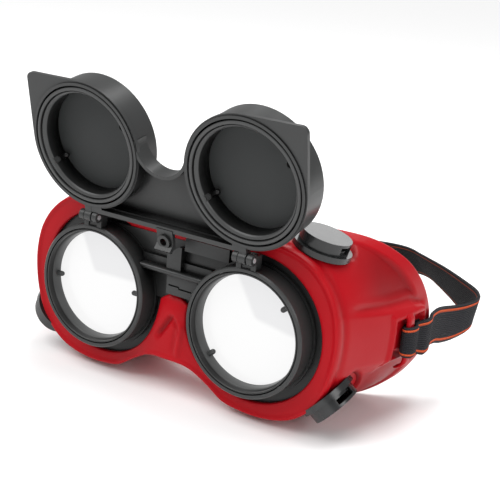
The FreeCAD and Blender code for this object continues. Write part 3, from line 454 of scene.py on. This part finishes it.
FRONT_OUTLINE = (
    (0, 36.6), (20, 36.8), (40, 37), (51, 36.2), (61, 32.6), (68.6, 26), (73.7, 17.5), (76, 8),
    (76.2, -1), (74.8, -10.5), (71.6, -20), (66, -28), (58, -33.8), (48, -36.6), (37.5, -37.1),
    (27.5, -35.4), (19, -30), (10, -25.4), (0, -24.6),
)
REAR_OUTLINE = (
    (0, 40.5), (22, 40.8), (44, 41), (58, 40.4), (70, 36.8), (78.4, 28.6), (82.8, 18.6), (84.9, 7.5),
    (85.3, -3), (84.4, -12.5), (81.3, -21.5), (74.8, -30.8), (64, -38), (50, -40), (38, -38.5),
    (27, -33), (18, -21), (10, -8), (0, -3),
)
FRONT_DEPTH = 8.0       # front wall behind the eyecups' lips
OUTER_START = 9.3       # depth at which the outer wall leaves the front edge
INNER_START = 10.9
TEMPLE_DEPTH = 86.0     # depth at which the outline reaches its rear form
NOSE_REACH = 9.0        # how far back along the walls the nose's bulge fades out
WALL = 2.4
WINDOW = 31.3           # radius of the opening round each eyecup
BRIDGE_TOP = 28.3       # the opening's upper edge between the eyecups
NOSE_TOP = 4.2          # the opening's lower edge in the middle, where the nose's bulge starts
NOSE_DROP = 3.0         # how far that edge falls on its way to the eyecups
NOSE_RISE = 3.6         # how far the bulge stands forward
NOSE_HALF = 9.5         # its half width at the top, and what that gains for each millimetre down
NOSE_SPREAD = 0.62
SPAN_STEPS = 13         # points between two outline corners
DEPTH_STEPS = 110       # rows of the outer wall
INNER_STEPS = 50        # rows of the inner wall
ARC_STEPS = 120         # points round each eyecup's opening, over the nose and across the bridge
NOSE_STEPS = 16
BRIDGE_STEPS = 36
COARSE_GRID = 1.5       # spacing of the points in the front wall, and over the nose
FINE_GRID = 0.7
EDGE_GAP = 0.6          # from the front wall's edges to the nearest of those points
# The wearer's face is an upright cylinder of oval section, which leans forward as it rises.
FACE_CENTRE = 117.6     # depth of its axis at the height of FACE_FOOT
FACE_DEEP = 70.7        # half its section in depth, and across
FACE_HALF = 95
FACE_FOOT = -39
FACE_LEAN = 0.25
# The right vents, as (across, depth, height, roll, pitch, up or down), each on a flat in the wall.
VENTS = ((57.3, 23.0, 34.3, 13.6, 4.1, 1), (68.7, 18.0, -21.4, 46.9, 8.3, -1))
VENT_FLAT = (12.6, 16.4)    # radii where a flat ends and where the wall is as it was
VENT_HIGH = 12          # a wall further than this from the flat's plane is left alone
# The temple's moulded band runs between two creases, as (depth, height).
TOP_CREASE = ((12, 14), (42, 10.5), (58, 9.6), (68, 7))
LOW_CREASE = ((12, -8.5), (21, -10), (39, -12), (48, -9.6), (62, -11.5))
# The hollow that the strap's bar stands in, and the raised lip round it: depths, then heights.
POCKET = ((43.5, 66), (-11.6, 5.2))
POCKET_LIP = ((41.0, 66), (-13.9, 8.2))
# How far the temple's parts stand out of the plain wall, or lie below it.
BAND_RISE = (0.2, 2.2)  # the band's at the front, and what it gains towards the rear
LIP_RISE = 1.1
CREASE_DEEP = 0.7
UPPER_DEEP = 2.0
LOWER_DEEP = 1.1
POCKET_DEEP = 2.0
FRONT_GROOVE = 12.3     # depth of the shallow groove behind the front edge
GROOVE_HALF = 1.7
GROOVE_DEEP = 0.7
# The front wall's rounded edges, from its front face over the edge: the crest round the outside, as
# (inset, depth), and the lip round the opening, as (outset, depth).
CREST = ((3.2, 8.1), (2.4, 8.0), (1.7, 7.7), (1.1, 7.45), (0.65, 7.5), (0.25, 7.95), (0.05, 8.6))
LIP = ((0.8, 8.1), (0.35, 8.2), (0.08, 8.5), (0.0, 9.0), (0.0, 10.4))
FRONT_SKIN = 8.1        # depths of the front wall's two faces
BACK_SKIN = 10.45


def vent_seats():
    """The place and outward direction of each vent."""
    seats = []
    for x, depth, z, roll, pitch, level in VENTS:
        roll, pitch = math.radians(roll), math.radians(pitch)
        for side in (-1, 1):
            out = np.array((side * math.sin(roll) * math.cos(pitch), math.sin(pitch),
                            level * math.cos(roll) * math.cos(pitch)))
            seats.append((np.array((side * x, depth, z)), out))
    return seats


def step(value, low, high):
    """Smooth rise from 0 at low to 1 at high, for numbers and arrays."""
    share = np.clip((value - low) / (high - low), 0, 1)
    return share * share * (3 - 2 * share)


def catmull(a, b, c, d, t):
    """Points on the Catmull-Rom curve from b to c, at shares t of the way."""
    curve = 2 * b + (c - a) * t + (2 * a - 5 * b + 4 * c - d) * t**2 + (3 * b - a - 3 * c + d) * t**3
    return 0.5 * curve


def through(points, steps):
    """A closed smooth line through corners, as an array."""
    corners = np.array(points, float)
    t = (np.arange(steps) / steps)[:, None]
    spans = []
    for i in range(len(corners)):
        a, b, c, d = (corners[(i + k) % len(corners)] for k in (-1, 0, 1, 2))
        spans.append(catmull(a, b, c, d, t))
    return np.concatenate(spans)


def both_halves(half):
    """A whole outline from its right half."""
    return list(half) + [(-x, z) for x, z in reversed(half[1:-1])]


FRONT_LINE = through(both_halves(FRONT_OUTLINE), SPAN_STEPS)
REAR_LINE = through(both_halves(REAR_OUTLINE), SPAN_STEPS)


def outline_at(depth):
    """(x, z) round the mask, one row for each depth in an array of shape (rows, points)."""
    share = np.clip((depth - FRONT_DEPTH) / (TEMPLE_DEPTH - FRONT_DEPTH), 0, 1)
    swell = np.sin(share * math.pi / 2)[..., None]
    return FRONT_LINE * (1 - swell) + REAR_LINE * swell


def head_depth(x, z):
    """Depth of the wearer's face behind the eyecups' lips."""
    across = np.clip(x / FACE_HALF, -0.97, 0.97)
    return FACE_CENTRE - FACE_DEEP * np.sqrt(1 - across**2) - FACE_LEAN * (z - FACE_FOOT)


def rear_depths():
    """Depth of the mask's rear edge at each point of its outline, found by halving."""
    low = np.full(len(FRONT_LINE), FRONT_DEPTH + 4)
    high = np.full(len(FRONT_LINE), 100.0)
    for _ in range(40):
        middle = (low + high) / 2
        line = outline_at(middle)
        short = head_depth(line[:, 0], line[:, 1]) > middle
        low = np.where(short, middle, low)
        high = np.where(short, high, middle)
    return low


def surface(depth):
    """Points (x, depth, z) of the plain outer wall and its outward normals."""
    line = outline_at(depth)
    points = np.stack([line[..., 0], depth, line[..., 1]], -1)
    ahead = outline_at(depth + 0.05)
    deeper = np.stack([ahead[..., 0], depth + 0.05, ahead[..., 1]], -1)
    along = np.roll(line, -1, -2) - np.roll(line, 1, -2)
    along = np.stack([along[..., 0], np.zeros_like(depth), along[..., 1]], -1)
    normal = np.cross(along, deeper - points)
    normal /= np.linalg.norm(normal, axis=-1, keepdims=True)
    return points, normal


# Creases over the nose, as (start, end, half width, height), with both ends as (across, height): two
# pleats that run down and outwards, a raised fold on the right, and the shallow groove beside it.
NOSE_CREASES = (
    ((0.9, -4.6), (-6.3, -15.6), 1.15, -1.9),
    ((1.6, -5.0), (5.4, -11.0), 0.8, -0.7),
    ((5.9, -6.5), (4.8, -22.5), 1.3, 0.9),
    ((3.4, -9.0), (2.4, -21.0), 1.0, -0.5),
)


def crease(x, z, start, end, width):
    """1 along a straight crease, fading to 0 beside it and at its ends."""
    across, up = end[0] - start[0], end[1] - start[1]
    length = math.hypot(across, up)
    along = ((x - start[0]) * across + (z - start[1]) * up) / length
    aside = ((x - start[0]) * up - (z - start[1]) * across) / length
    ends = step(along, -1.2, 1.8) * (1 - step(along, length - 4, length + 1))
    return np.exp(-((aside / width) ** 2)) * ends


def nose_bulge(x, z):
    """How far the front wall stands forward over the nose, with its creases."""
    reach = NOSE_HALF + np.clip(4.5 - z, 0, 60) * NOSE_SPREAD
    share = np.clip(1 - (x / reach) ** 2, 0, 1) ** 1.4
    rise = NOSE_RISE * (1 - np.exp(-np.clip(NOSE_TOP - z, 0, 60) / 5)) * (1 - 0.3 * step(-z, 20, 29))
    return rise * share + sum(crease(x, z, a, b, width) * high for a, b, width, high in NOSE_CREASES)


def nose_fade(depth):
    """How much of the nose's bulge a wall has, from 1 at the front to 0."""
    return np.clip(1 - (depth - FRONT_DEPTH) / NOSE_REACH, 0, 1) ** 2


def nose_crease_shade(x, z):
    """Painted shade in the nose's creases, from 0 to 1."""
    deepest = min(high for a, b, width, high in NOSE_CREASES)
    cuts = [crease(x, z, a, b, width) * high / deepest for a, b, width, high in NOSE_CREASES if high < 0]
    return np.clip(sum(cuts), 0, 1)


def box_mask(value, low, high, soft):
    """1 between low and high, with soft edges."""
    half = soft / 2
    return step(value, low - half, low + half) * (1 - step(value, high - half, high + half))


def temple_relief(x, depth, z, edge):
    """Height of the temples' moulded detail above the plain wall; edge is the depth left to the rear."""
    top_crease = np.interp(depth, *zip(*TOP_CREASE))
    low_crease = np.interp(depth, *zip(*LOW_CREASE))
    band = step(z, low_crease - 2.6, low_crease + 1.8) * (1 - step(z, top_crease - 1.0, top_crease + 1.2))
    rise = (BAND_RISE[0] + BAND_RISE[1] * step(depth, 13, 50)) * (1 - step(depth, 66, 74))
    groove = np.exp(-(((z - top_crease - 2.2) / 1.3) ** 2))
    groove *= step(depth, 16, 26) * (1 - step(depth, 64, 72))
    upper = step(z, top_crease + 1.5, top_crease + 7) * step(edge, 7, 10.5) * step(depth, 18, 50)
    lower = step(-z, -low_crease + 2.0, -low_crease + 6.5) * step(edge, 6, 10) * step(depth, 22, 40)
    pocket = box_mask(depth, *POCKET[0], 0.9) * box_mask(z, *POCKET[1], 0.9)
    lip = box_mask(depth, *POCKET_LIP[0], 2.0) * box_mask(z, *POCKET_LIP[1], 1.5) - pocket
    relief = band * rise - CREASE_DEEP * groove - LOWER_DEEP * lower
    relief += LIP_RISE * lip
    relief -= POCKET_DEEP * pocket
    relief -= UPPER_DEEP * upper * (1 - 0.4 * step(z, 26, 36))
    return relief * step(np.abs(x), 46, 62)


def front_relief(depth):
    """The shallow groove behind the mask's front edge."""
    return -GROOVE_DEEP * np.exp(-(((depth - FRONT_GROOVE) / GROOVE_HALF) ** 2))


def vent_seat(points, normals, heights):
    """Flattens the wall round each vent so that its flange lies on it."""
    for base, out in vent_seats():
        away = points - base
        lift = away @ out
        flat = away - lift[..., None] * out
        near = 1 - step(np.linalg.norm(flat, axis=-1), *VENT_FLAT)
        near *= np.abs(lift) < VENT_HIGH
        facing = np.clip(normals @ out, 0.3, 1)
        seat = np.minimum((0.1 - lift) / facing, heights + 0.4)
        heights = heights * (1 - near) + near * seat
    return heights


def outer_wall(depth, rear):
    """Points of the outer wall with its moulded detail, and the detail's heights."""
    points, normals = surface(depth)
    x, z = points[..., 0], points[..., 2]
    heights = temple_relief(x, depth, z, rear - depth) + front_relief(depth)
    heights = vent_seat(points, normals, heights)
    moved = points + normals * heights[..., None]
    moved[..., 1] -= nose_bulge(x, z) * nose_fade(depth)
    return moved, heights


def grown(line, gap):
    """A closed (x, z) line moved outwards by a gap."""
    along = np.roll(line, -1, 0) - np.roll(line, 1, 0)
    normal = np.stack([along[:, 1], -along[:, 0]], 1)
    normal /= np.linalg.norm(normal, axis=1, keepdims=True)
    area = (line[:, 0] * np.roll(line[:, 1], -1) - np.roll(line[:, 0], -1) * line[:, 1]).sum()
    return line + normal * gap * math.copysign(1, area)


def front_points(line, depth):
    """Points of the front wall: an (x, z) line at one depth, standing forward over the nose."""
    depths = depth - nose_bulge(line[:, 0], line[:, 1])
    return np.stack([line[:, 0], depths, line[:, 1]], 1)


def front_row(inset, depth):
    """A row of the front edge: the outline drawn in, at one depth."""
    edge = outline_at(np.full(len(FRONT_LINE), OUTER_START))
    return front_points(grown(edge, -inset), depth)


def window_line():
    """The opening in the front wall: round both eyecups, over the nose and across the bridge."""
    top = math.atan2(BRIDGE_TOP, -math.sqrt(WINDOW**2 - BRIDGE_TOP**2))
    foot = -math.pi - 0.04
    arc = [(EYE + WINDOW * math.cos(a), WINDOW * math.sin(a)) for a in np.linspace(top, foot, ARC_STEPS)]
    end = arc[-1][0]
    apex = [(x, NOSE_TOP - NOSE_DROP * (x / end) ** 2) for x in np.linspace(end, -end, NOSE_STEPS)[1:-1]]
    left = [(-x, z) for x, z in reversed(arc)]
    over = [(x, BRIDGE_TOP) for x in np.linspace(left[-1][0], arc[0][0], BRIDGE_STEPS)[1:-1]]
    return np.array(arc + apex + left + over)


def inside(points, loop):
    """Which points lie inside a closed line."""
    x, z = points[:, 0][:, None], points[:, 1][:, None]
    x1, z1 = loop[:, 0][None], loop[:, 1][None]
    x2, z2 = np.roll(loop, -1, 0)[:, 0][None], np.roll(loop, -1, 0)[:, 1][None]
    crosses = ((z1 > z) != (z2 > z)) & (x < (x2 - x1) * (z - z1) / (z2 - z1 + 1e-12) + x1)
    return crosses.sum(1) % 2 == 1


def clear_of(points, loop, gap):
    """Which points lie further than a gap from a line's points."""
    away = np.linalg.norm(points[:, None] - loop[None], axis=2)
    return away.min(1) > gap


def grid_points(half, low, high, gap):
    """Points (x, z) on a square grid."""
    return [(x, z) for x in np.arange(-half, half + 0.1, gap) for z in np.arange(low, high + 0.1, gap)]


def front_sheet(outer, window):
    """Points and triangles between the front edge and the opening.

    The points are the two lines' and then those of a grid between them, which is finer over the nose.
    """
    coarse = [(x, z) for x, z in grid_points(76, -38, 38, COARSE_GRID) if abs(x) > 13 or z > 5]
    grid = np.array(coarse + grid_points(12.6, -30, 4.4, FINE_GRID))
    keep = inside(grid, outer) & ~inside(grid, window)
    keep &= clear_of(grid, outer, EDGE_GAP) & clear_of(grid, window, EDGE_GAP)
    spots = np.concatenate([outer, window, grid[keep]])
    count, more = len(outer), len(window)
    edges = [(i, (i + 1) % count) for i in range(count)]
    edges += [(count + i, count + (i + 1) % more) for i in range(more)]
    places, _, found, sources, _, _ = delaunay_2d_cdt([Vector(p) for p in spots], edges, [], 0, 1e-7)
    placed = np.array([tuple(p) for p in places])
    middles = np.array([placed[list(face)].mean(0) for face in found])
    good = inside(middles, outer) & ~inside(middles, window)
    origin = [group[0] for group in sources]
    faces = [tuple(origin[i] for i in face) for face, ok in zip(found, good) if ok]
    return spots, faces


def mask_rows():
    """Rows of points, and their tones of painted shade, from the front wall's back, round the rear edge,
    to the crest.
    """
    rear = rear_depths()
    depth = OUTER_START + (rear - OUTER_START)[None] * np.linspace(0, 1, DEPTH_STEPS)[:, None]
    outer, heights = outer_wall(depth, rear[None])
    depth = INNER_START + (rear - INNER_START)[None] * np.linspace(0, 1, INNER_STEPS)[:, None]
    plain_wall, normals = surface(depth)
    inner = plain_wall - normals * WALL
    inner[..., 1] -= nose_bulge(inner[..., 0], inner[..., 2]) * nose_fade(inner[..., 1])
    middle = (outer[-1] + inner[-1]) / 2
    half = (outer[-1] - inner[-1]) / 2
    back = outer[-1] - outer[-2]
    back /= np.linalg.norm(back, axis=1, keepdims=True)
    thick = np.linalg.norm(half, axis=1, keepdims=True)
    bend = np.radians((150, 120, 90, 60, 30))
    rim = [middle + half * math.cos(a) + back * thick * math.sin(a) for a in bend]
    before = [front_row(WALL + 0.4, 10.5)] + list(inner) + rim
    after = [front_row(*spot) for spot in reversed(CREST)]
    rows = np.array(before + list(outer[::-1]) + after)
    tones = np.zeros(rows.shape[:2])
    # Painted shade where the temple's detail lies below the plain wall.
    tones[len(before):len(before) + DEPTH_STEPS] = np.clip(-heights[::-1] / 1.6, 0, 1)
    return rows, tones


def quads(rows, count):
    """Faces between neighbouring closed rows, each given by its first point's number."""
    faces = []
    for a, b in zip(rows, rows[1:]):
        for i in range(count):
            j = (i + 1) % count
            faces.append((a + i, a + j, b + j, b + i))
    return faces


def build_mask():
    """The mask's skin: its walls, the opening's lip, and the front wall's two faces."""
    rows, tones = mask_rows()
    window = window_line()
    spots, triangles = front_sheet(rows[-1][:, [0, 2]], grown(window, LIP[0][0]))
    count, more = rows.shape[1], len(window)
    grid = spots[count + more:]
    walls = rows.reshape(-1, 3)
    lips = [front_points(grown(window, out), depth) for out, depth in LIP]
    blocks = [walls, *lips, front_points(grid, FRONT_SKIN), front_points(grid, BACK_SKIN)]
    starts = np.cumsum([0] + [len(block) for block in blocks]).tolist()
    lip_starts = starts[1:len(lips) + 1]
    front_grid, back_grid = starts[len(lips) + 1:len(lips) + 3]
    # Each face of the front wall joins an edge row, a row of the lip and its own grid.
    front, behind = [], []
    for numbers, edge, lip, inner in ((front, len(walls) - count, lip_starts[0], front_grid),
                                      (behind, 0, lip_starts[-1], back_grid)):
        numbers += range(edge, edge + count)
        numbers += range(lip, lip + more)
        numbers += range(inner, inner + len(grid))
    faces = quads([r * count for r in range(len(rows))], count) + quads(lip_starts, more)
    faces += [tuple(front[i] for i in face) for face in triangles]
    faces += [tuple(behind[i] for i in reversed(face)) for face in triangles]
    points = np.concatenate(blocks)
    # Painted shade in the nose's creases, and in the wall's recesses from their tones.
    shade = nose_crease_shade(points[:, 0], points[:, 2]) * (points[:, 1] < 9)
    shade[:tones.size] = np.maximum(shade[:tones.size], tones.ravel())
    skin = new_piece("mask_skin", [at(*p) for p in points], faces, RED, tone=shade.tolist())
    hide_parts("mask_body")


# ---------------------------------------------------------------- head strap

STRAP_THICK = 1.6
STRAP_SPACING = 1.0     # between rows along the band
STRAP_ACROSS = 17       # points across each face of it
STRAP_ROUND = 14        # the power that rounds its edges; 2 would be an ellipse
UV_LENGTH = 100         # millimetres of webbing in one unit of its uv
STRAP_DROP = 3.5        # the left half runs lower than the right one behind the temple
# The band's middle line, as (across, depth, height, width, lean), from its gathered end on the lug
# round the bar, out to the temple and on to the back of the head. Lean tips its upper edge outwards.
STRAP_END = (
    (84.9, 71, -5.6, 14.6, 0), (84.6, 63, -5.2, 14.2, 0), (84.6, 57, -4.6, 13.4, 0),
    (84.9, 51, -4, 13, 0), (86.9, 48.4, -3.8, 13.2, 0), (89, 50.6, -3.9, 13.8, 0), (89, 55, -4.2, 14, 0),
    (87, 58.6, -4.8, 14.2, 0), (87.2, 61.5, -5.2, 15, 0), (88.8, 65, -5.6, 16.4, 0),
    (88.6, 70, -5.8, 16.4, 0), (86.8, 76, -5.8, 16.4, 0),
)
STRAP_SIDE = (
    (86, 84, -6.6, 16.8, 0), (85.6, 93, -8.8, 17.6, 0), (86.4, 104, -10.8, 17.6, 0.05),
    (88.2, 114, -11.3, 17.6, 0.14), (88.6, 124, -11.5, 17.6, 0.17), (84.6, 136, -12.4, 17.6, 0.08),
    (74.2, 148.6, -12.7, 17.6, -0.1), (61.5, 160, -11.9, 17.6, -0.3), (50, 168.4, -11, 17.6, -0.5),
    (43, 173.4, -10.6, 17.6, -0.6), (36, 177.4, -10.7, 17.6, -0.55), (27, 179, -11.4, 17.6, -0.4),
)
# Across the back the band drops a little to its adjuster.
STRAP_BACK = (
    (14, 178.9, -13, 17.6, -0.2), (4, 178.9, -14.8, 17.6, 0), (-6, 178.9, -15.8, 17.6, 0),
    (-14, 178.9, -15.9, 17.6, 0), (-22, 178.9, -15.9, 17.6, 0),
)


def open_line(points, spacing):
    """A smooth line through open corners, sampled about every spacing millimetres."""
    corners = np.array(points, float)
    corners = np.concatenate([[2 * corners[0] - corners[1]], corners, [2 * corners[-1] - corners[-2]]])
    spans = []
    for a, b, c, d in zip(corners, corners[1:], corners[2:], corners[3:]):
        count = max(2, int(np.linalg.norm(c[:3] - b[:3]) / spacing))
        t = (np.arange(count) / count)[:, None]
        spans.append(catmull(a, b, c, d, t))
    return np.concatenate(spans + [corners[-2:-1]])


def band_mesh(line, thick):
    """A flat band along rows of (x, depth, z, width, lean).

    Gives its points and faces, each point's place along and across it, and 1 for points on its inner face.
    """
    middle, width, lean = line[:, :3], line[:, 3], line[:, 4]
    tangent = np.gradient(middle, axis=0)
    tangent[:, 2] = 0
    tangent /= np.linalg.norm(tangent, axis=1, keepdims=True)
    out = np.cross(tangent, (0, 0, 1))
    up = np.array([0, 0, 1]) + out * lean[:, None]
    up /= np.linalg.norm(up, axis=1, keepdims=True)
    length = np.concatenate([[0], np.cumsum(np.linalg.norm(np.diff(middle, axis=0), axis=1))])
    across = np.linspace(-1, 1, STRAP_ACROSS)
    edge = np.sqrt(1 - np.abs(across) ** STRAP_ROUND)
    outer = list(zip(across, edge))
    loop = outer + [(a, -e) for a, e in reversed(outer[1:-1])]
    points, spots, inner = [], [], []
    for i in range(len(line)):
        for a, e in loop:
            points.append(middle[i] + up[i] * a * width[i] / 2 + out[i] * e * thick / 2)
            spots.append((length[i] / UV_LENGTH, 0.5 + 0.5 * a))
            inner.append(1.0 if e < 0 else 0.0)
    count = len(loop)
    faces = quads([r * count for r in range(len(line))], count)
    last = (len(line) - 1) * count
    faces += [tuple(range(count - 1, -1, -1)), tuple(range(last, last + count))]
    return points, faces, spots, inner


def build_strap():
    """The whole band: its left half mirrors the right one."""
    right = list(STRAP_END) + list(STRAP_SIDE)
    left = []
    for x, depth, z, width, lean in reversed(right):
        left.append((-x, depth, z - STRAP_DROP * float(step(depth, 145, 180)), width, -lean))
    line = open_line(right + list(STRAP_BACK) + left, STRAP_SPACING)
    points, faces, spots, inner = band_mesh(line, STRAP_THICK)
    strap = new_piece("elastic_strap", [at(*p) for p in points], faces, WEBBING, tone=inner, uv=spots)
    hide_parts("head_strap")


# ---------------------------------------------------------------- lug bars

# The bar's line, as (across, height), bent in to the mask at both ends.
BAR_SPINE = ((83.6, -16.4), (85.4, -15.2), (86.7, -13.6), (87, -12), (87, -3.7), (87, 4.6), (86.7, 6.2),
             (85.4, 7.8), (83.6, 9))
BAR_DEPTH = 52
BAR_HALF = (1.1, 2.5)   # half its thickness across and in depth
BAR_SIDES = 32
BAR_ROUND = 0.6         # the power that squares its section; 1 would be an ellipse


def squared(value):
    """A sine or cosine pushed out towards a rounded square."""
    return math.copysign(abs(value) ** BAR_ROUND, value)


def build_lug_bar(name, side):
    """The upright bar that the strap is sewn round."""
    turns = np.linspace(0, 2 * math.pi, BAR_SIDES + 1)[:-1]
    rounds = [(squared(math.cos(a)) * BAR_HALF[0], squared(math.sin(a)) * BAR_HALF[1]) for a in turns]
    points = [at(side * (x + c), BAR_DEPTH + d, z) for x, z in BAR_SPINE for c, d in rounds]
    last = (len(BAR_SPINE) - 1) * BAR_SIDES
    faces = quads([r * BAR_SIDES for r in range(len(BAR_SPINE))], BAR_SIDES)
    faces += [tuple(range(BAR_SIDES)), tuple(range(last, last + BAR_SIDES))]
    bar = new_piece("lug_bar_" + name, points, faces, RED, tone=[0.0] * len(points))


# ---------------------------------------------------------------- lens rings

# Section of a clear lens's ring as (radius, depth, tone): a slim lip, an undercut darkened with painted
# shade and a cone down to the lens. Tone is the share of painted shade.
CLEAR_SECTION = (
    (25.1, 1.3, 0.6), (24.95, 1.0, 0.6), (24.8, 0.25, 0.5), (24.65, 0.08, 0.45), (24.4, 0.08, 0.45),
    (24.22, 0.25, 0.6), (24.15, 0.5, 0.95), (24.15, 2.5, 1), (24.05, 2.65, 0.9), (23.7, 2.72, 0.2),
    (23.5, 2.9, 0), (23.3, 4, 0), (22.95, 6.75, 0), (23.05, 6.9, 0), (24.8, 6.9, 0.8), (25.1, 6.6, 0.8),
)
# Section of the shade's ring as (radius, distance ahead of the shade's face, tone): a rounded lip between
# two grooves, a cone inwards and a deep wall down to the lens; tone is painted shade, darkest in the
# grooves and on the deep wall.
SHADE_SECTION = (
    (25.1, 9.4, 1), (25.1, 1.7, 1), (24.75, 1.6, 1), (24.65, 0.45, 0.8), (24.5, 0.15, 0.15),
    (24.25, 0.04, 0), (23.5, 0.04, 0), (23.25, 0.15, 0.15), (23.12, 0.45, 0.9), (23.1, 1.5, 1),
    (22.85, 1.55, 1), (22.75, 1.0, 0.3), (22.6, 0.92, 0), (21.65, 2.3, 0), (21.5, 2.5, 0.8),
    (21.5, 5.9, 0.96), (21.5, 6.3, 1), (21.5, 9.4, 1),
)
RING_STEPS = 144
PEG_STEPS = 16
NUB_RADIUS = 1.15       # nubs of the clear lenses' rings
CLEAR_NUB_DEPTH = 5.4
CLEAR_NUB_ROOT = 23.8   # from the lens's axis
CLEAR_WALL = 23.2       # the cone's radius at the nubs, where their reach is measured from
SHADE_NUB_RADIUS = 1.25
SHADE_NUB_AHEAD = 7.4
SHADE_NUB_ENDS = (22, 17.9) # from the lens's axis
RIB_RADIUS = 1.5
RIB_ENDS = ((22.3, 1.9), (22.1, 5.6))   # each as (radius, distance ahead)


def peg(start, end, radius):
    """A round peg with a domed end: points and faces."""
    start, end = np.array(start), np.array(end)
    along = (end - start) / np.linalg.norm(end - start)
    first = np.cross(along, (0, 1, 0) if abs(along[1]) < 0.9 else (1, 0, 0))
    first /= np.linalg.norm(first)
    second = np.cross(along, first)
    rows = [(start, radius), (end - along * radius, radius)]
    dome = np.radians((25, 50, 72))
    rows += [(end - along * radius * (1 - math.sin(a)), radius * math.cos(a)) for a in dome]
    turns = [(math.cos(a), math.sin(a)) for a in np.linspace(0, 2 * math.pi, PEG_STEPS + 1)[:-1]]
    points = [middle + (first * c + second * s) * size for middle, size in rows for c, s in turns]
    points.append(end)
    faces = quads([r * PEG_STEPS for r in range(len(rows))], PEG_STEPS)
    last = PEG_STEPS * (len(rows) - 1)
    faces += [(last + i, last + (i + 1) % PEG_STEPS, len(points) - 1) for i in range(PEG_STEPS)]
    return points, faces


def ring_mesh(section, side):
    """A section (radius, y, tone) turned about an eye's axis: points (x, y, z), tones and faces."""
    points, tones = [], []
    for turn in np.linspace(0, 2 * math.pi, RING_STEPS + 1)[:-1]:
        for radius, y, tone in section:
            points.append((side * EYE + radius * math.cos(turn), y, radius * math.sin(turn)))
            tones.append(tone)
    faces = quads([r * len(section) for r in range(RING_STEPS)] + [0], len(section))
    return points, tones, faces


def add_pegs(mesh, pegs):
    """Adds pegs, each (start, end, radius, tone), to a ring's points, tones and faces."""
    points, tones, faces = mesh
    for start, end, radius, tone in pegs:
        spots, sides = peg(start, end, radius)
        faces += [tuple(len(points) + i for i in face) for face in sides]
        points += [tuple(spot) for spot in spots]
        tones += [tone] * len(spots)


def round_eye(side, angle, radius, y):
    """The point at an angle and a radius round an eye's axis."""
    turn = math.radians(angle)
    return side * EYE + radius * math.cos(turn), y, radius * math.sin(turn)


def build_clear_ring(name, side, nubs):
    """The threaded ring in front of a clear lens, with its two nubs as (degrees, reach)."""
    mesh = ring_mesh(CLEAR_SECTION, side)
    pegs = []
    for angle, reach in nubs:
        root = round_eye(side, angle, CLEAR_NUB_ROOT, CLEAR_NUB_DEPTH)
        tip = round_eye(side, angle, CLEAR_WALL - reach, CLEAR_NUB_DEPTH)
        pegs.append((root, tip, NUB_RADIUS, 0.3))
    add_pegs(mesh, pegs)
    points, tones, faces = mesh
    ring = new_piece("clear_lens_ring_" + name, [at(*p) for p in points], faces, RING, tone=tones,
                     body="ring_" + name)
    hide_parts("lens_ring_" + name)


def build_shade_ring(name, side):
    """The threaded ring behind a dark lens, with two nubs and the ribs that they stand on; the nubs are as
    dark as the wall's painted shade.
    """
    mesh = ring_mesh(SHADE_SECTION, side)
    pegs = []
    for angle in (SHADE_NUB, SHADE_NUB + 180):
        root, tip = (round_eye(side, angle, radius, SHADE_NUB_AHEAD) for radius in SHADE_NUB_ENDS)
        rib = [round_eye(side, angle, *end) for end in RIB_ENDS]
        pegs.append((root, tip, SHADE_NUB_RADIUS, 1))
        pegs.append((*rib, RIB_RADIUS, 0.1))
    add_pegs(mesh, pegs)
    points, tones, faces = mesh
    ring = new_piece("dark_lens_ring_" + name, [at(*raised(*p)) for p in points], faces, RING, tone=tones,
                     body="dark_ring_" + name)
    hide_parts("shade_ring_" + name)


# ---------------------------------------------------------------- build

# How far the edges of the CAD pieces are rounded, by the start of a node's name.
EDGES = (("front_frame", 0.3), ("shade_carrier", 0.3), ("hinge_pin", 0.3), ("vent_", 0.35),
         ("strap_slider", 0.6))

build_mask()
build_strap()
build_clear_ring("left", -1, ((2, 5.4), (182, 3.4)))
build_clear_ring("right", 1, ((41, 5.0), (221, 3.4)))
for name, side in SIDES:
    build_shade_ring(name, side)
    build_lug_bar(name, side)
for start, width in EDGES:
    for node in nodes_named(start):
        soften(node, width)

add_camera()
add_studio()
add_floor()
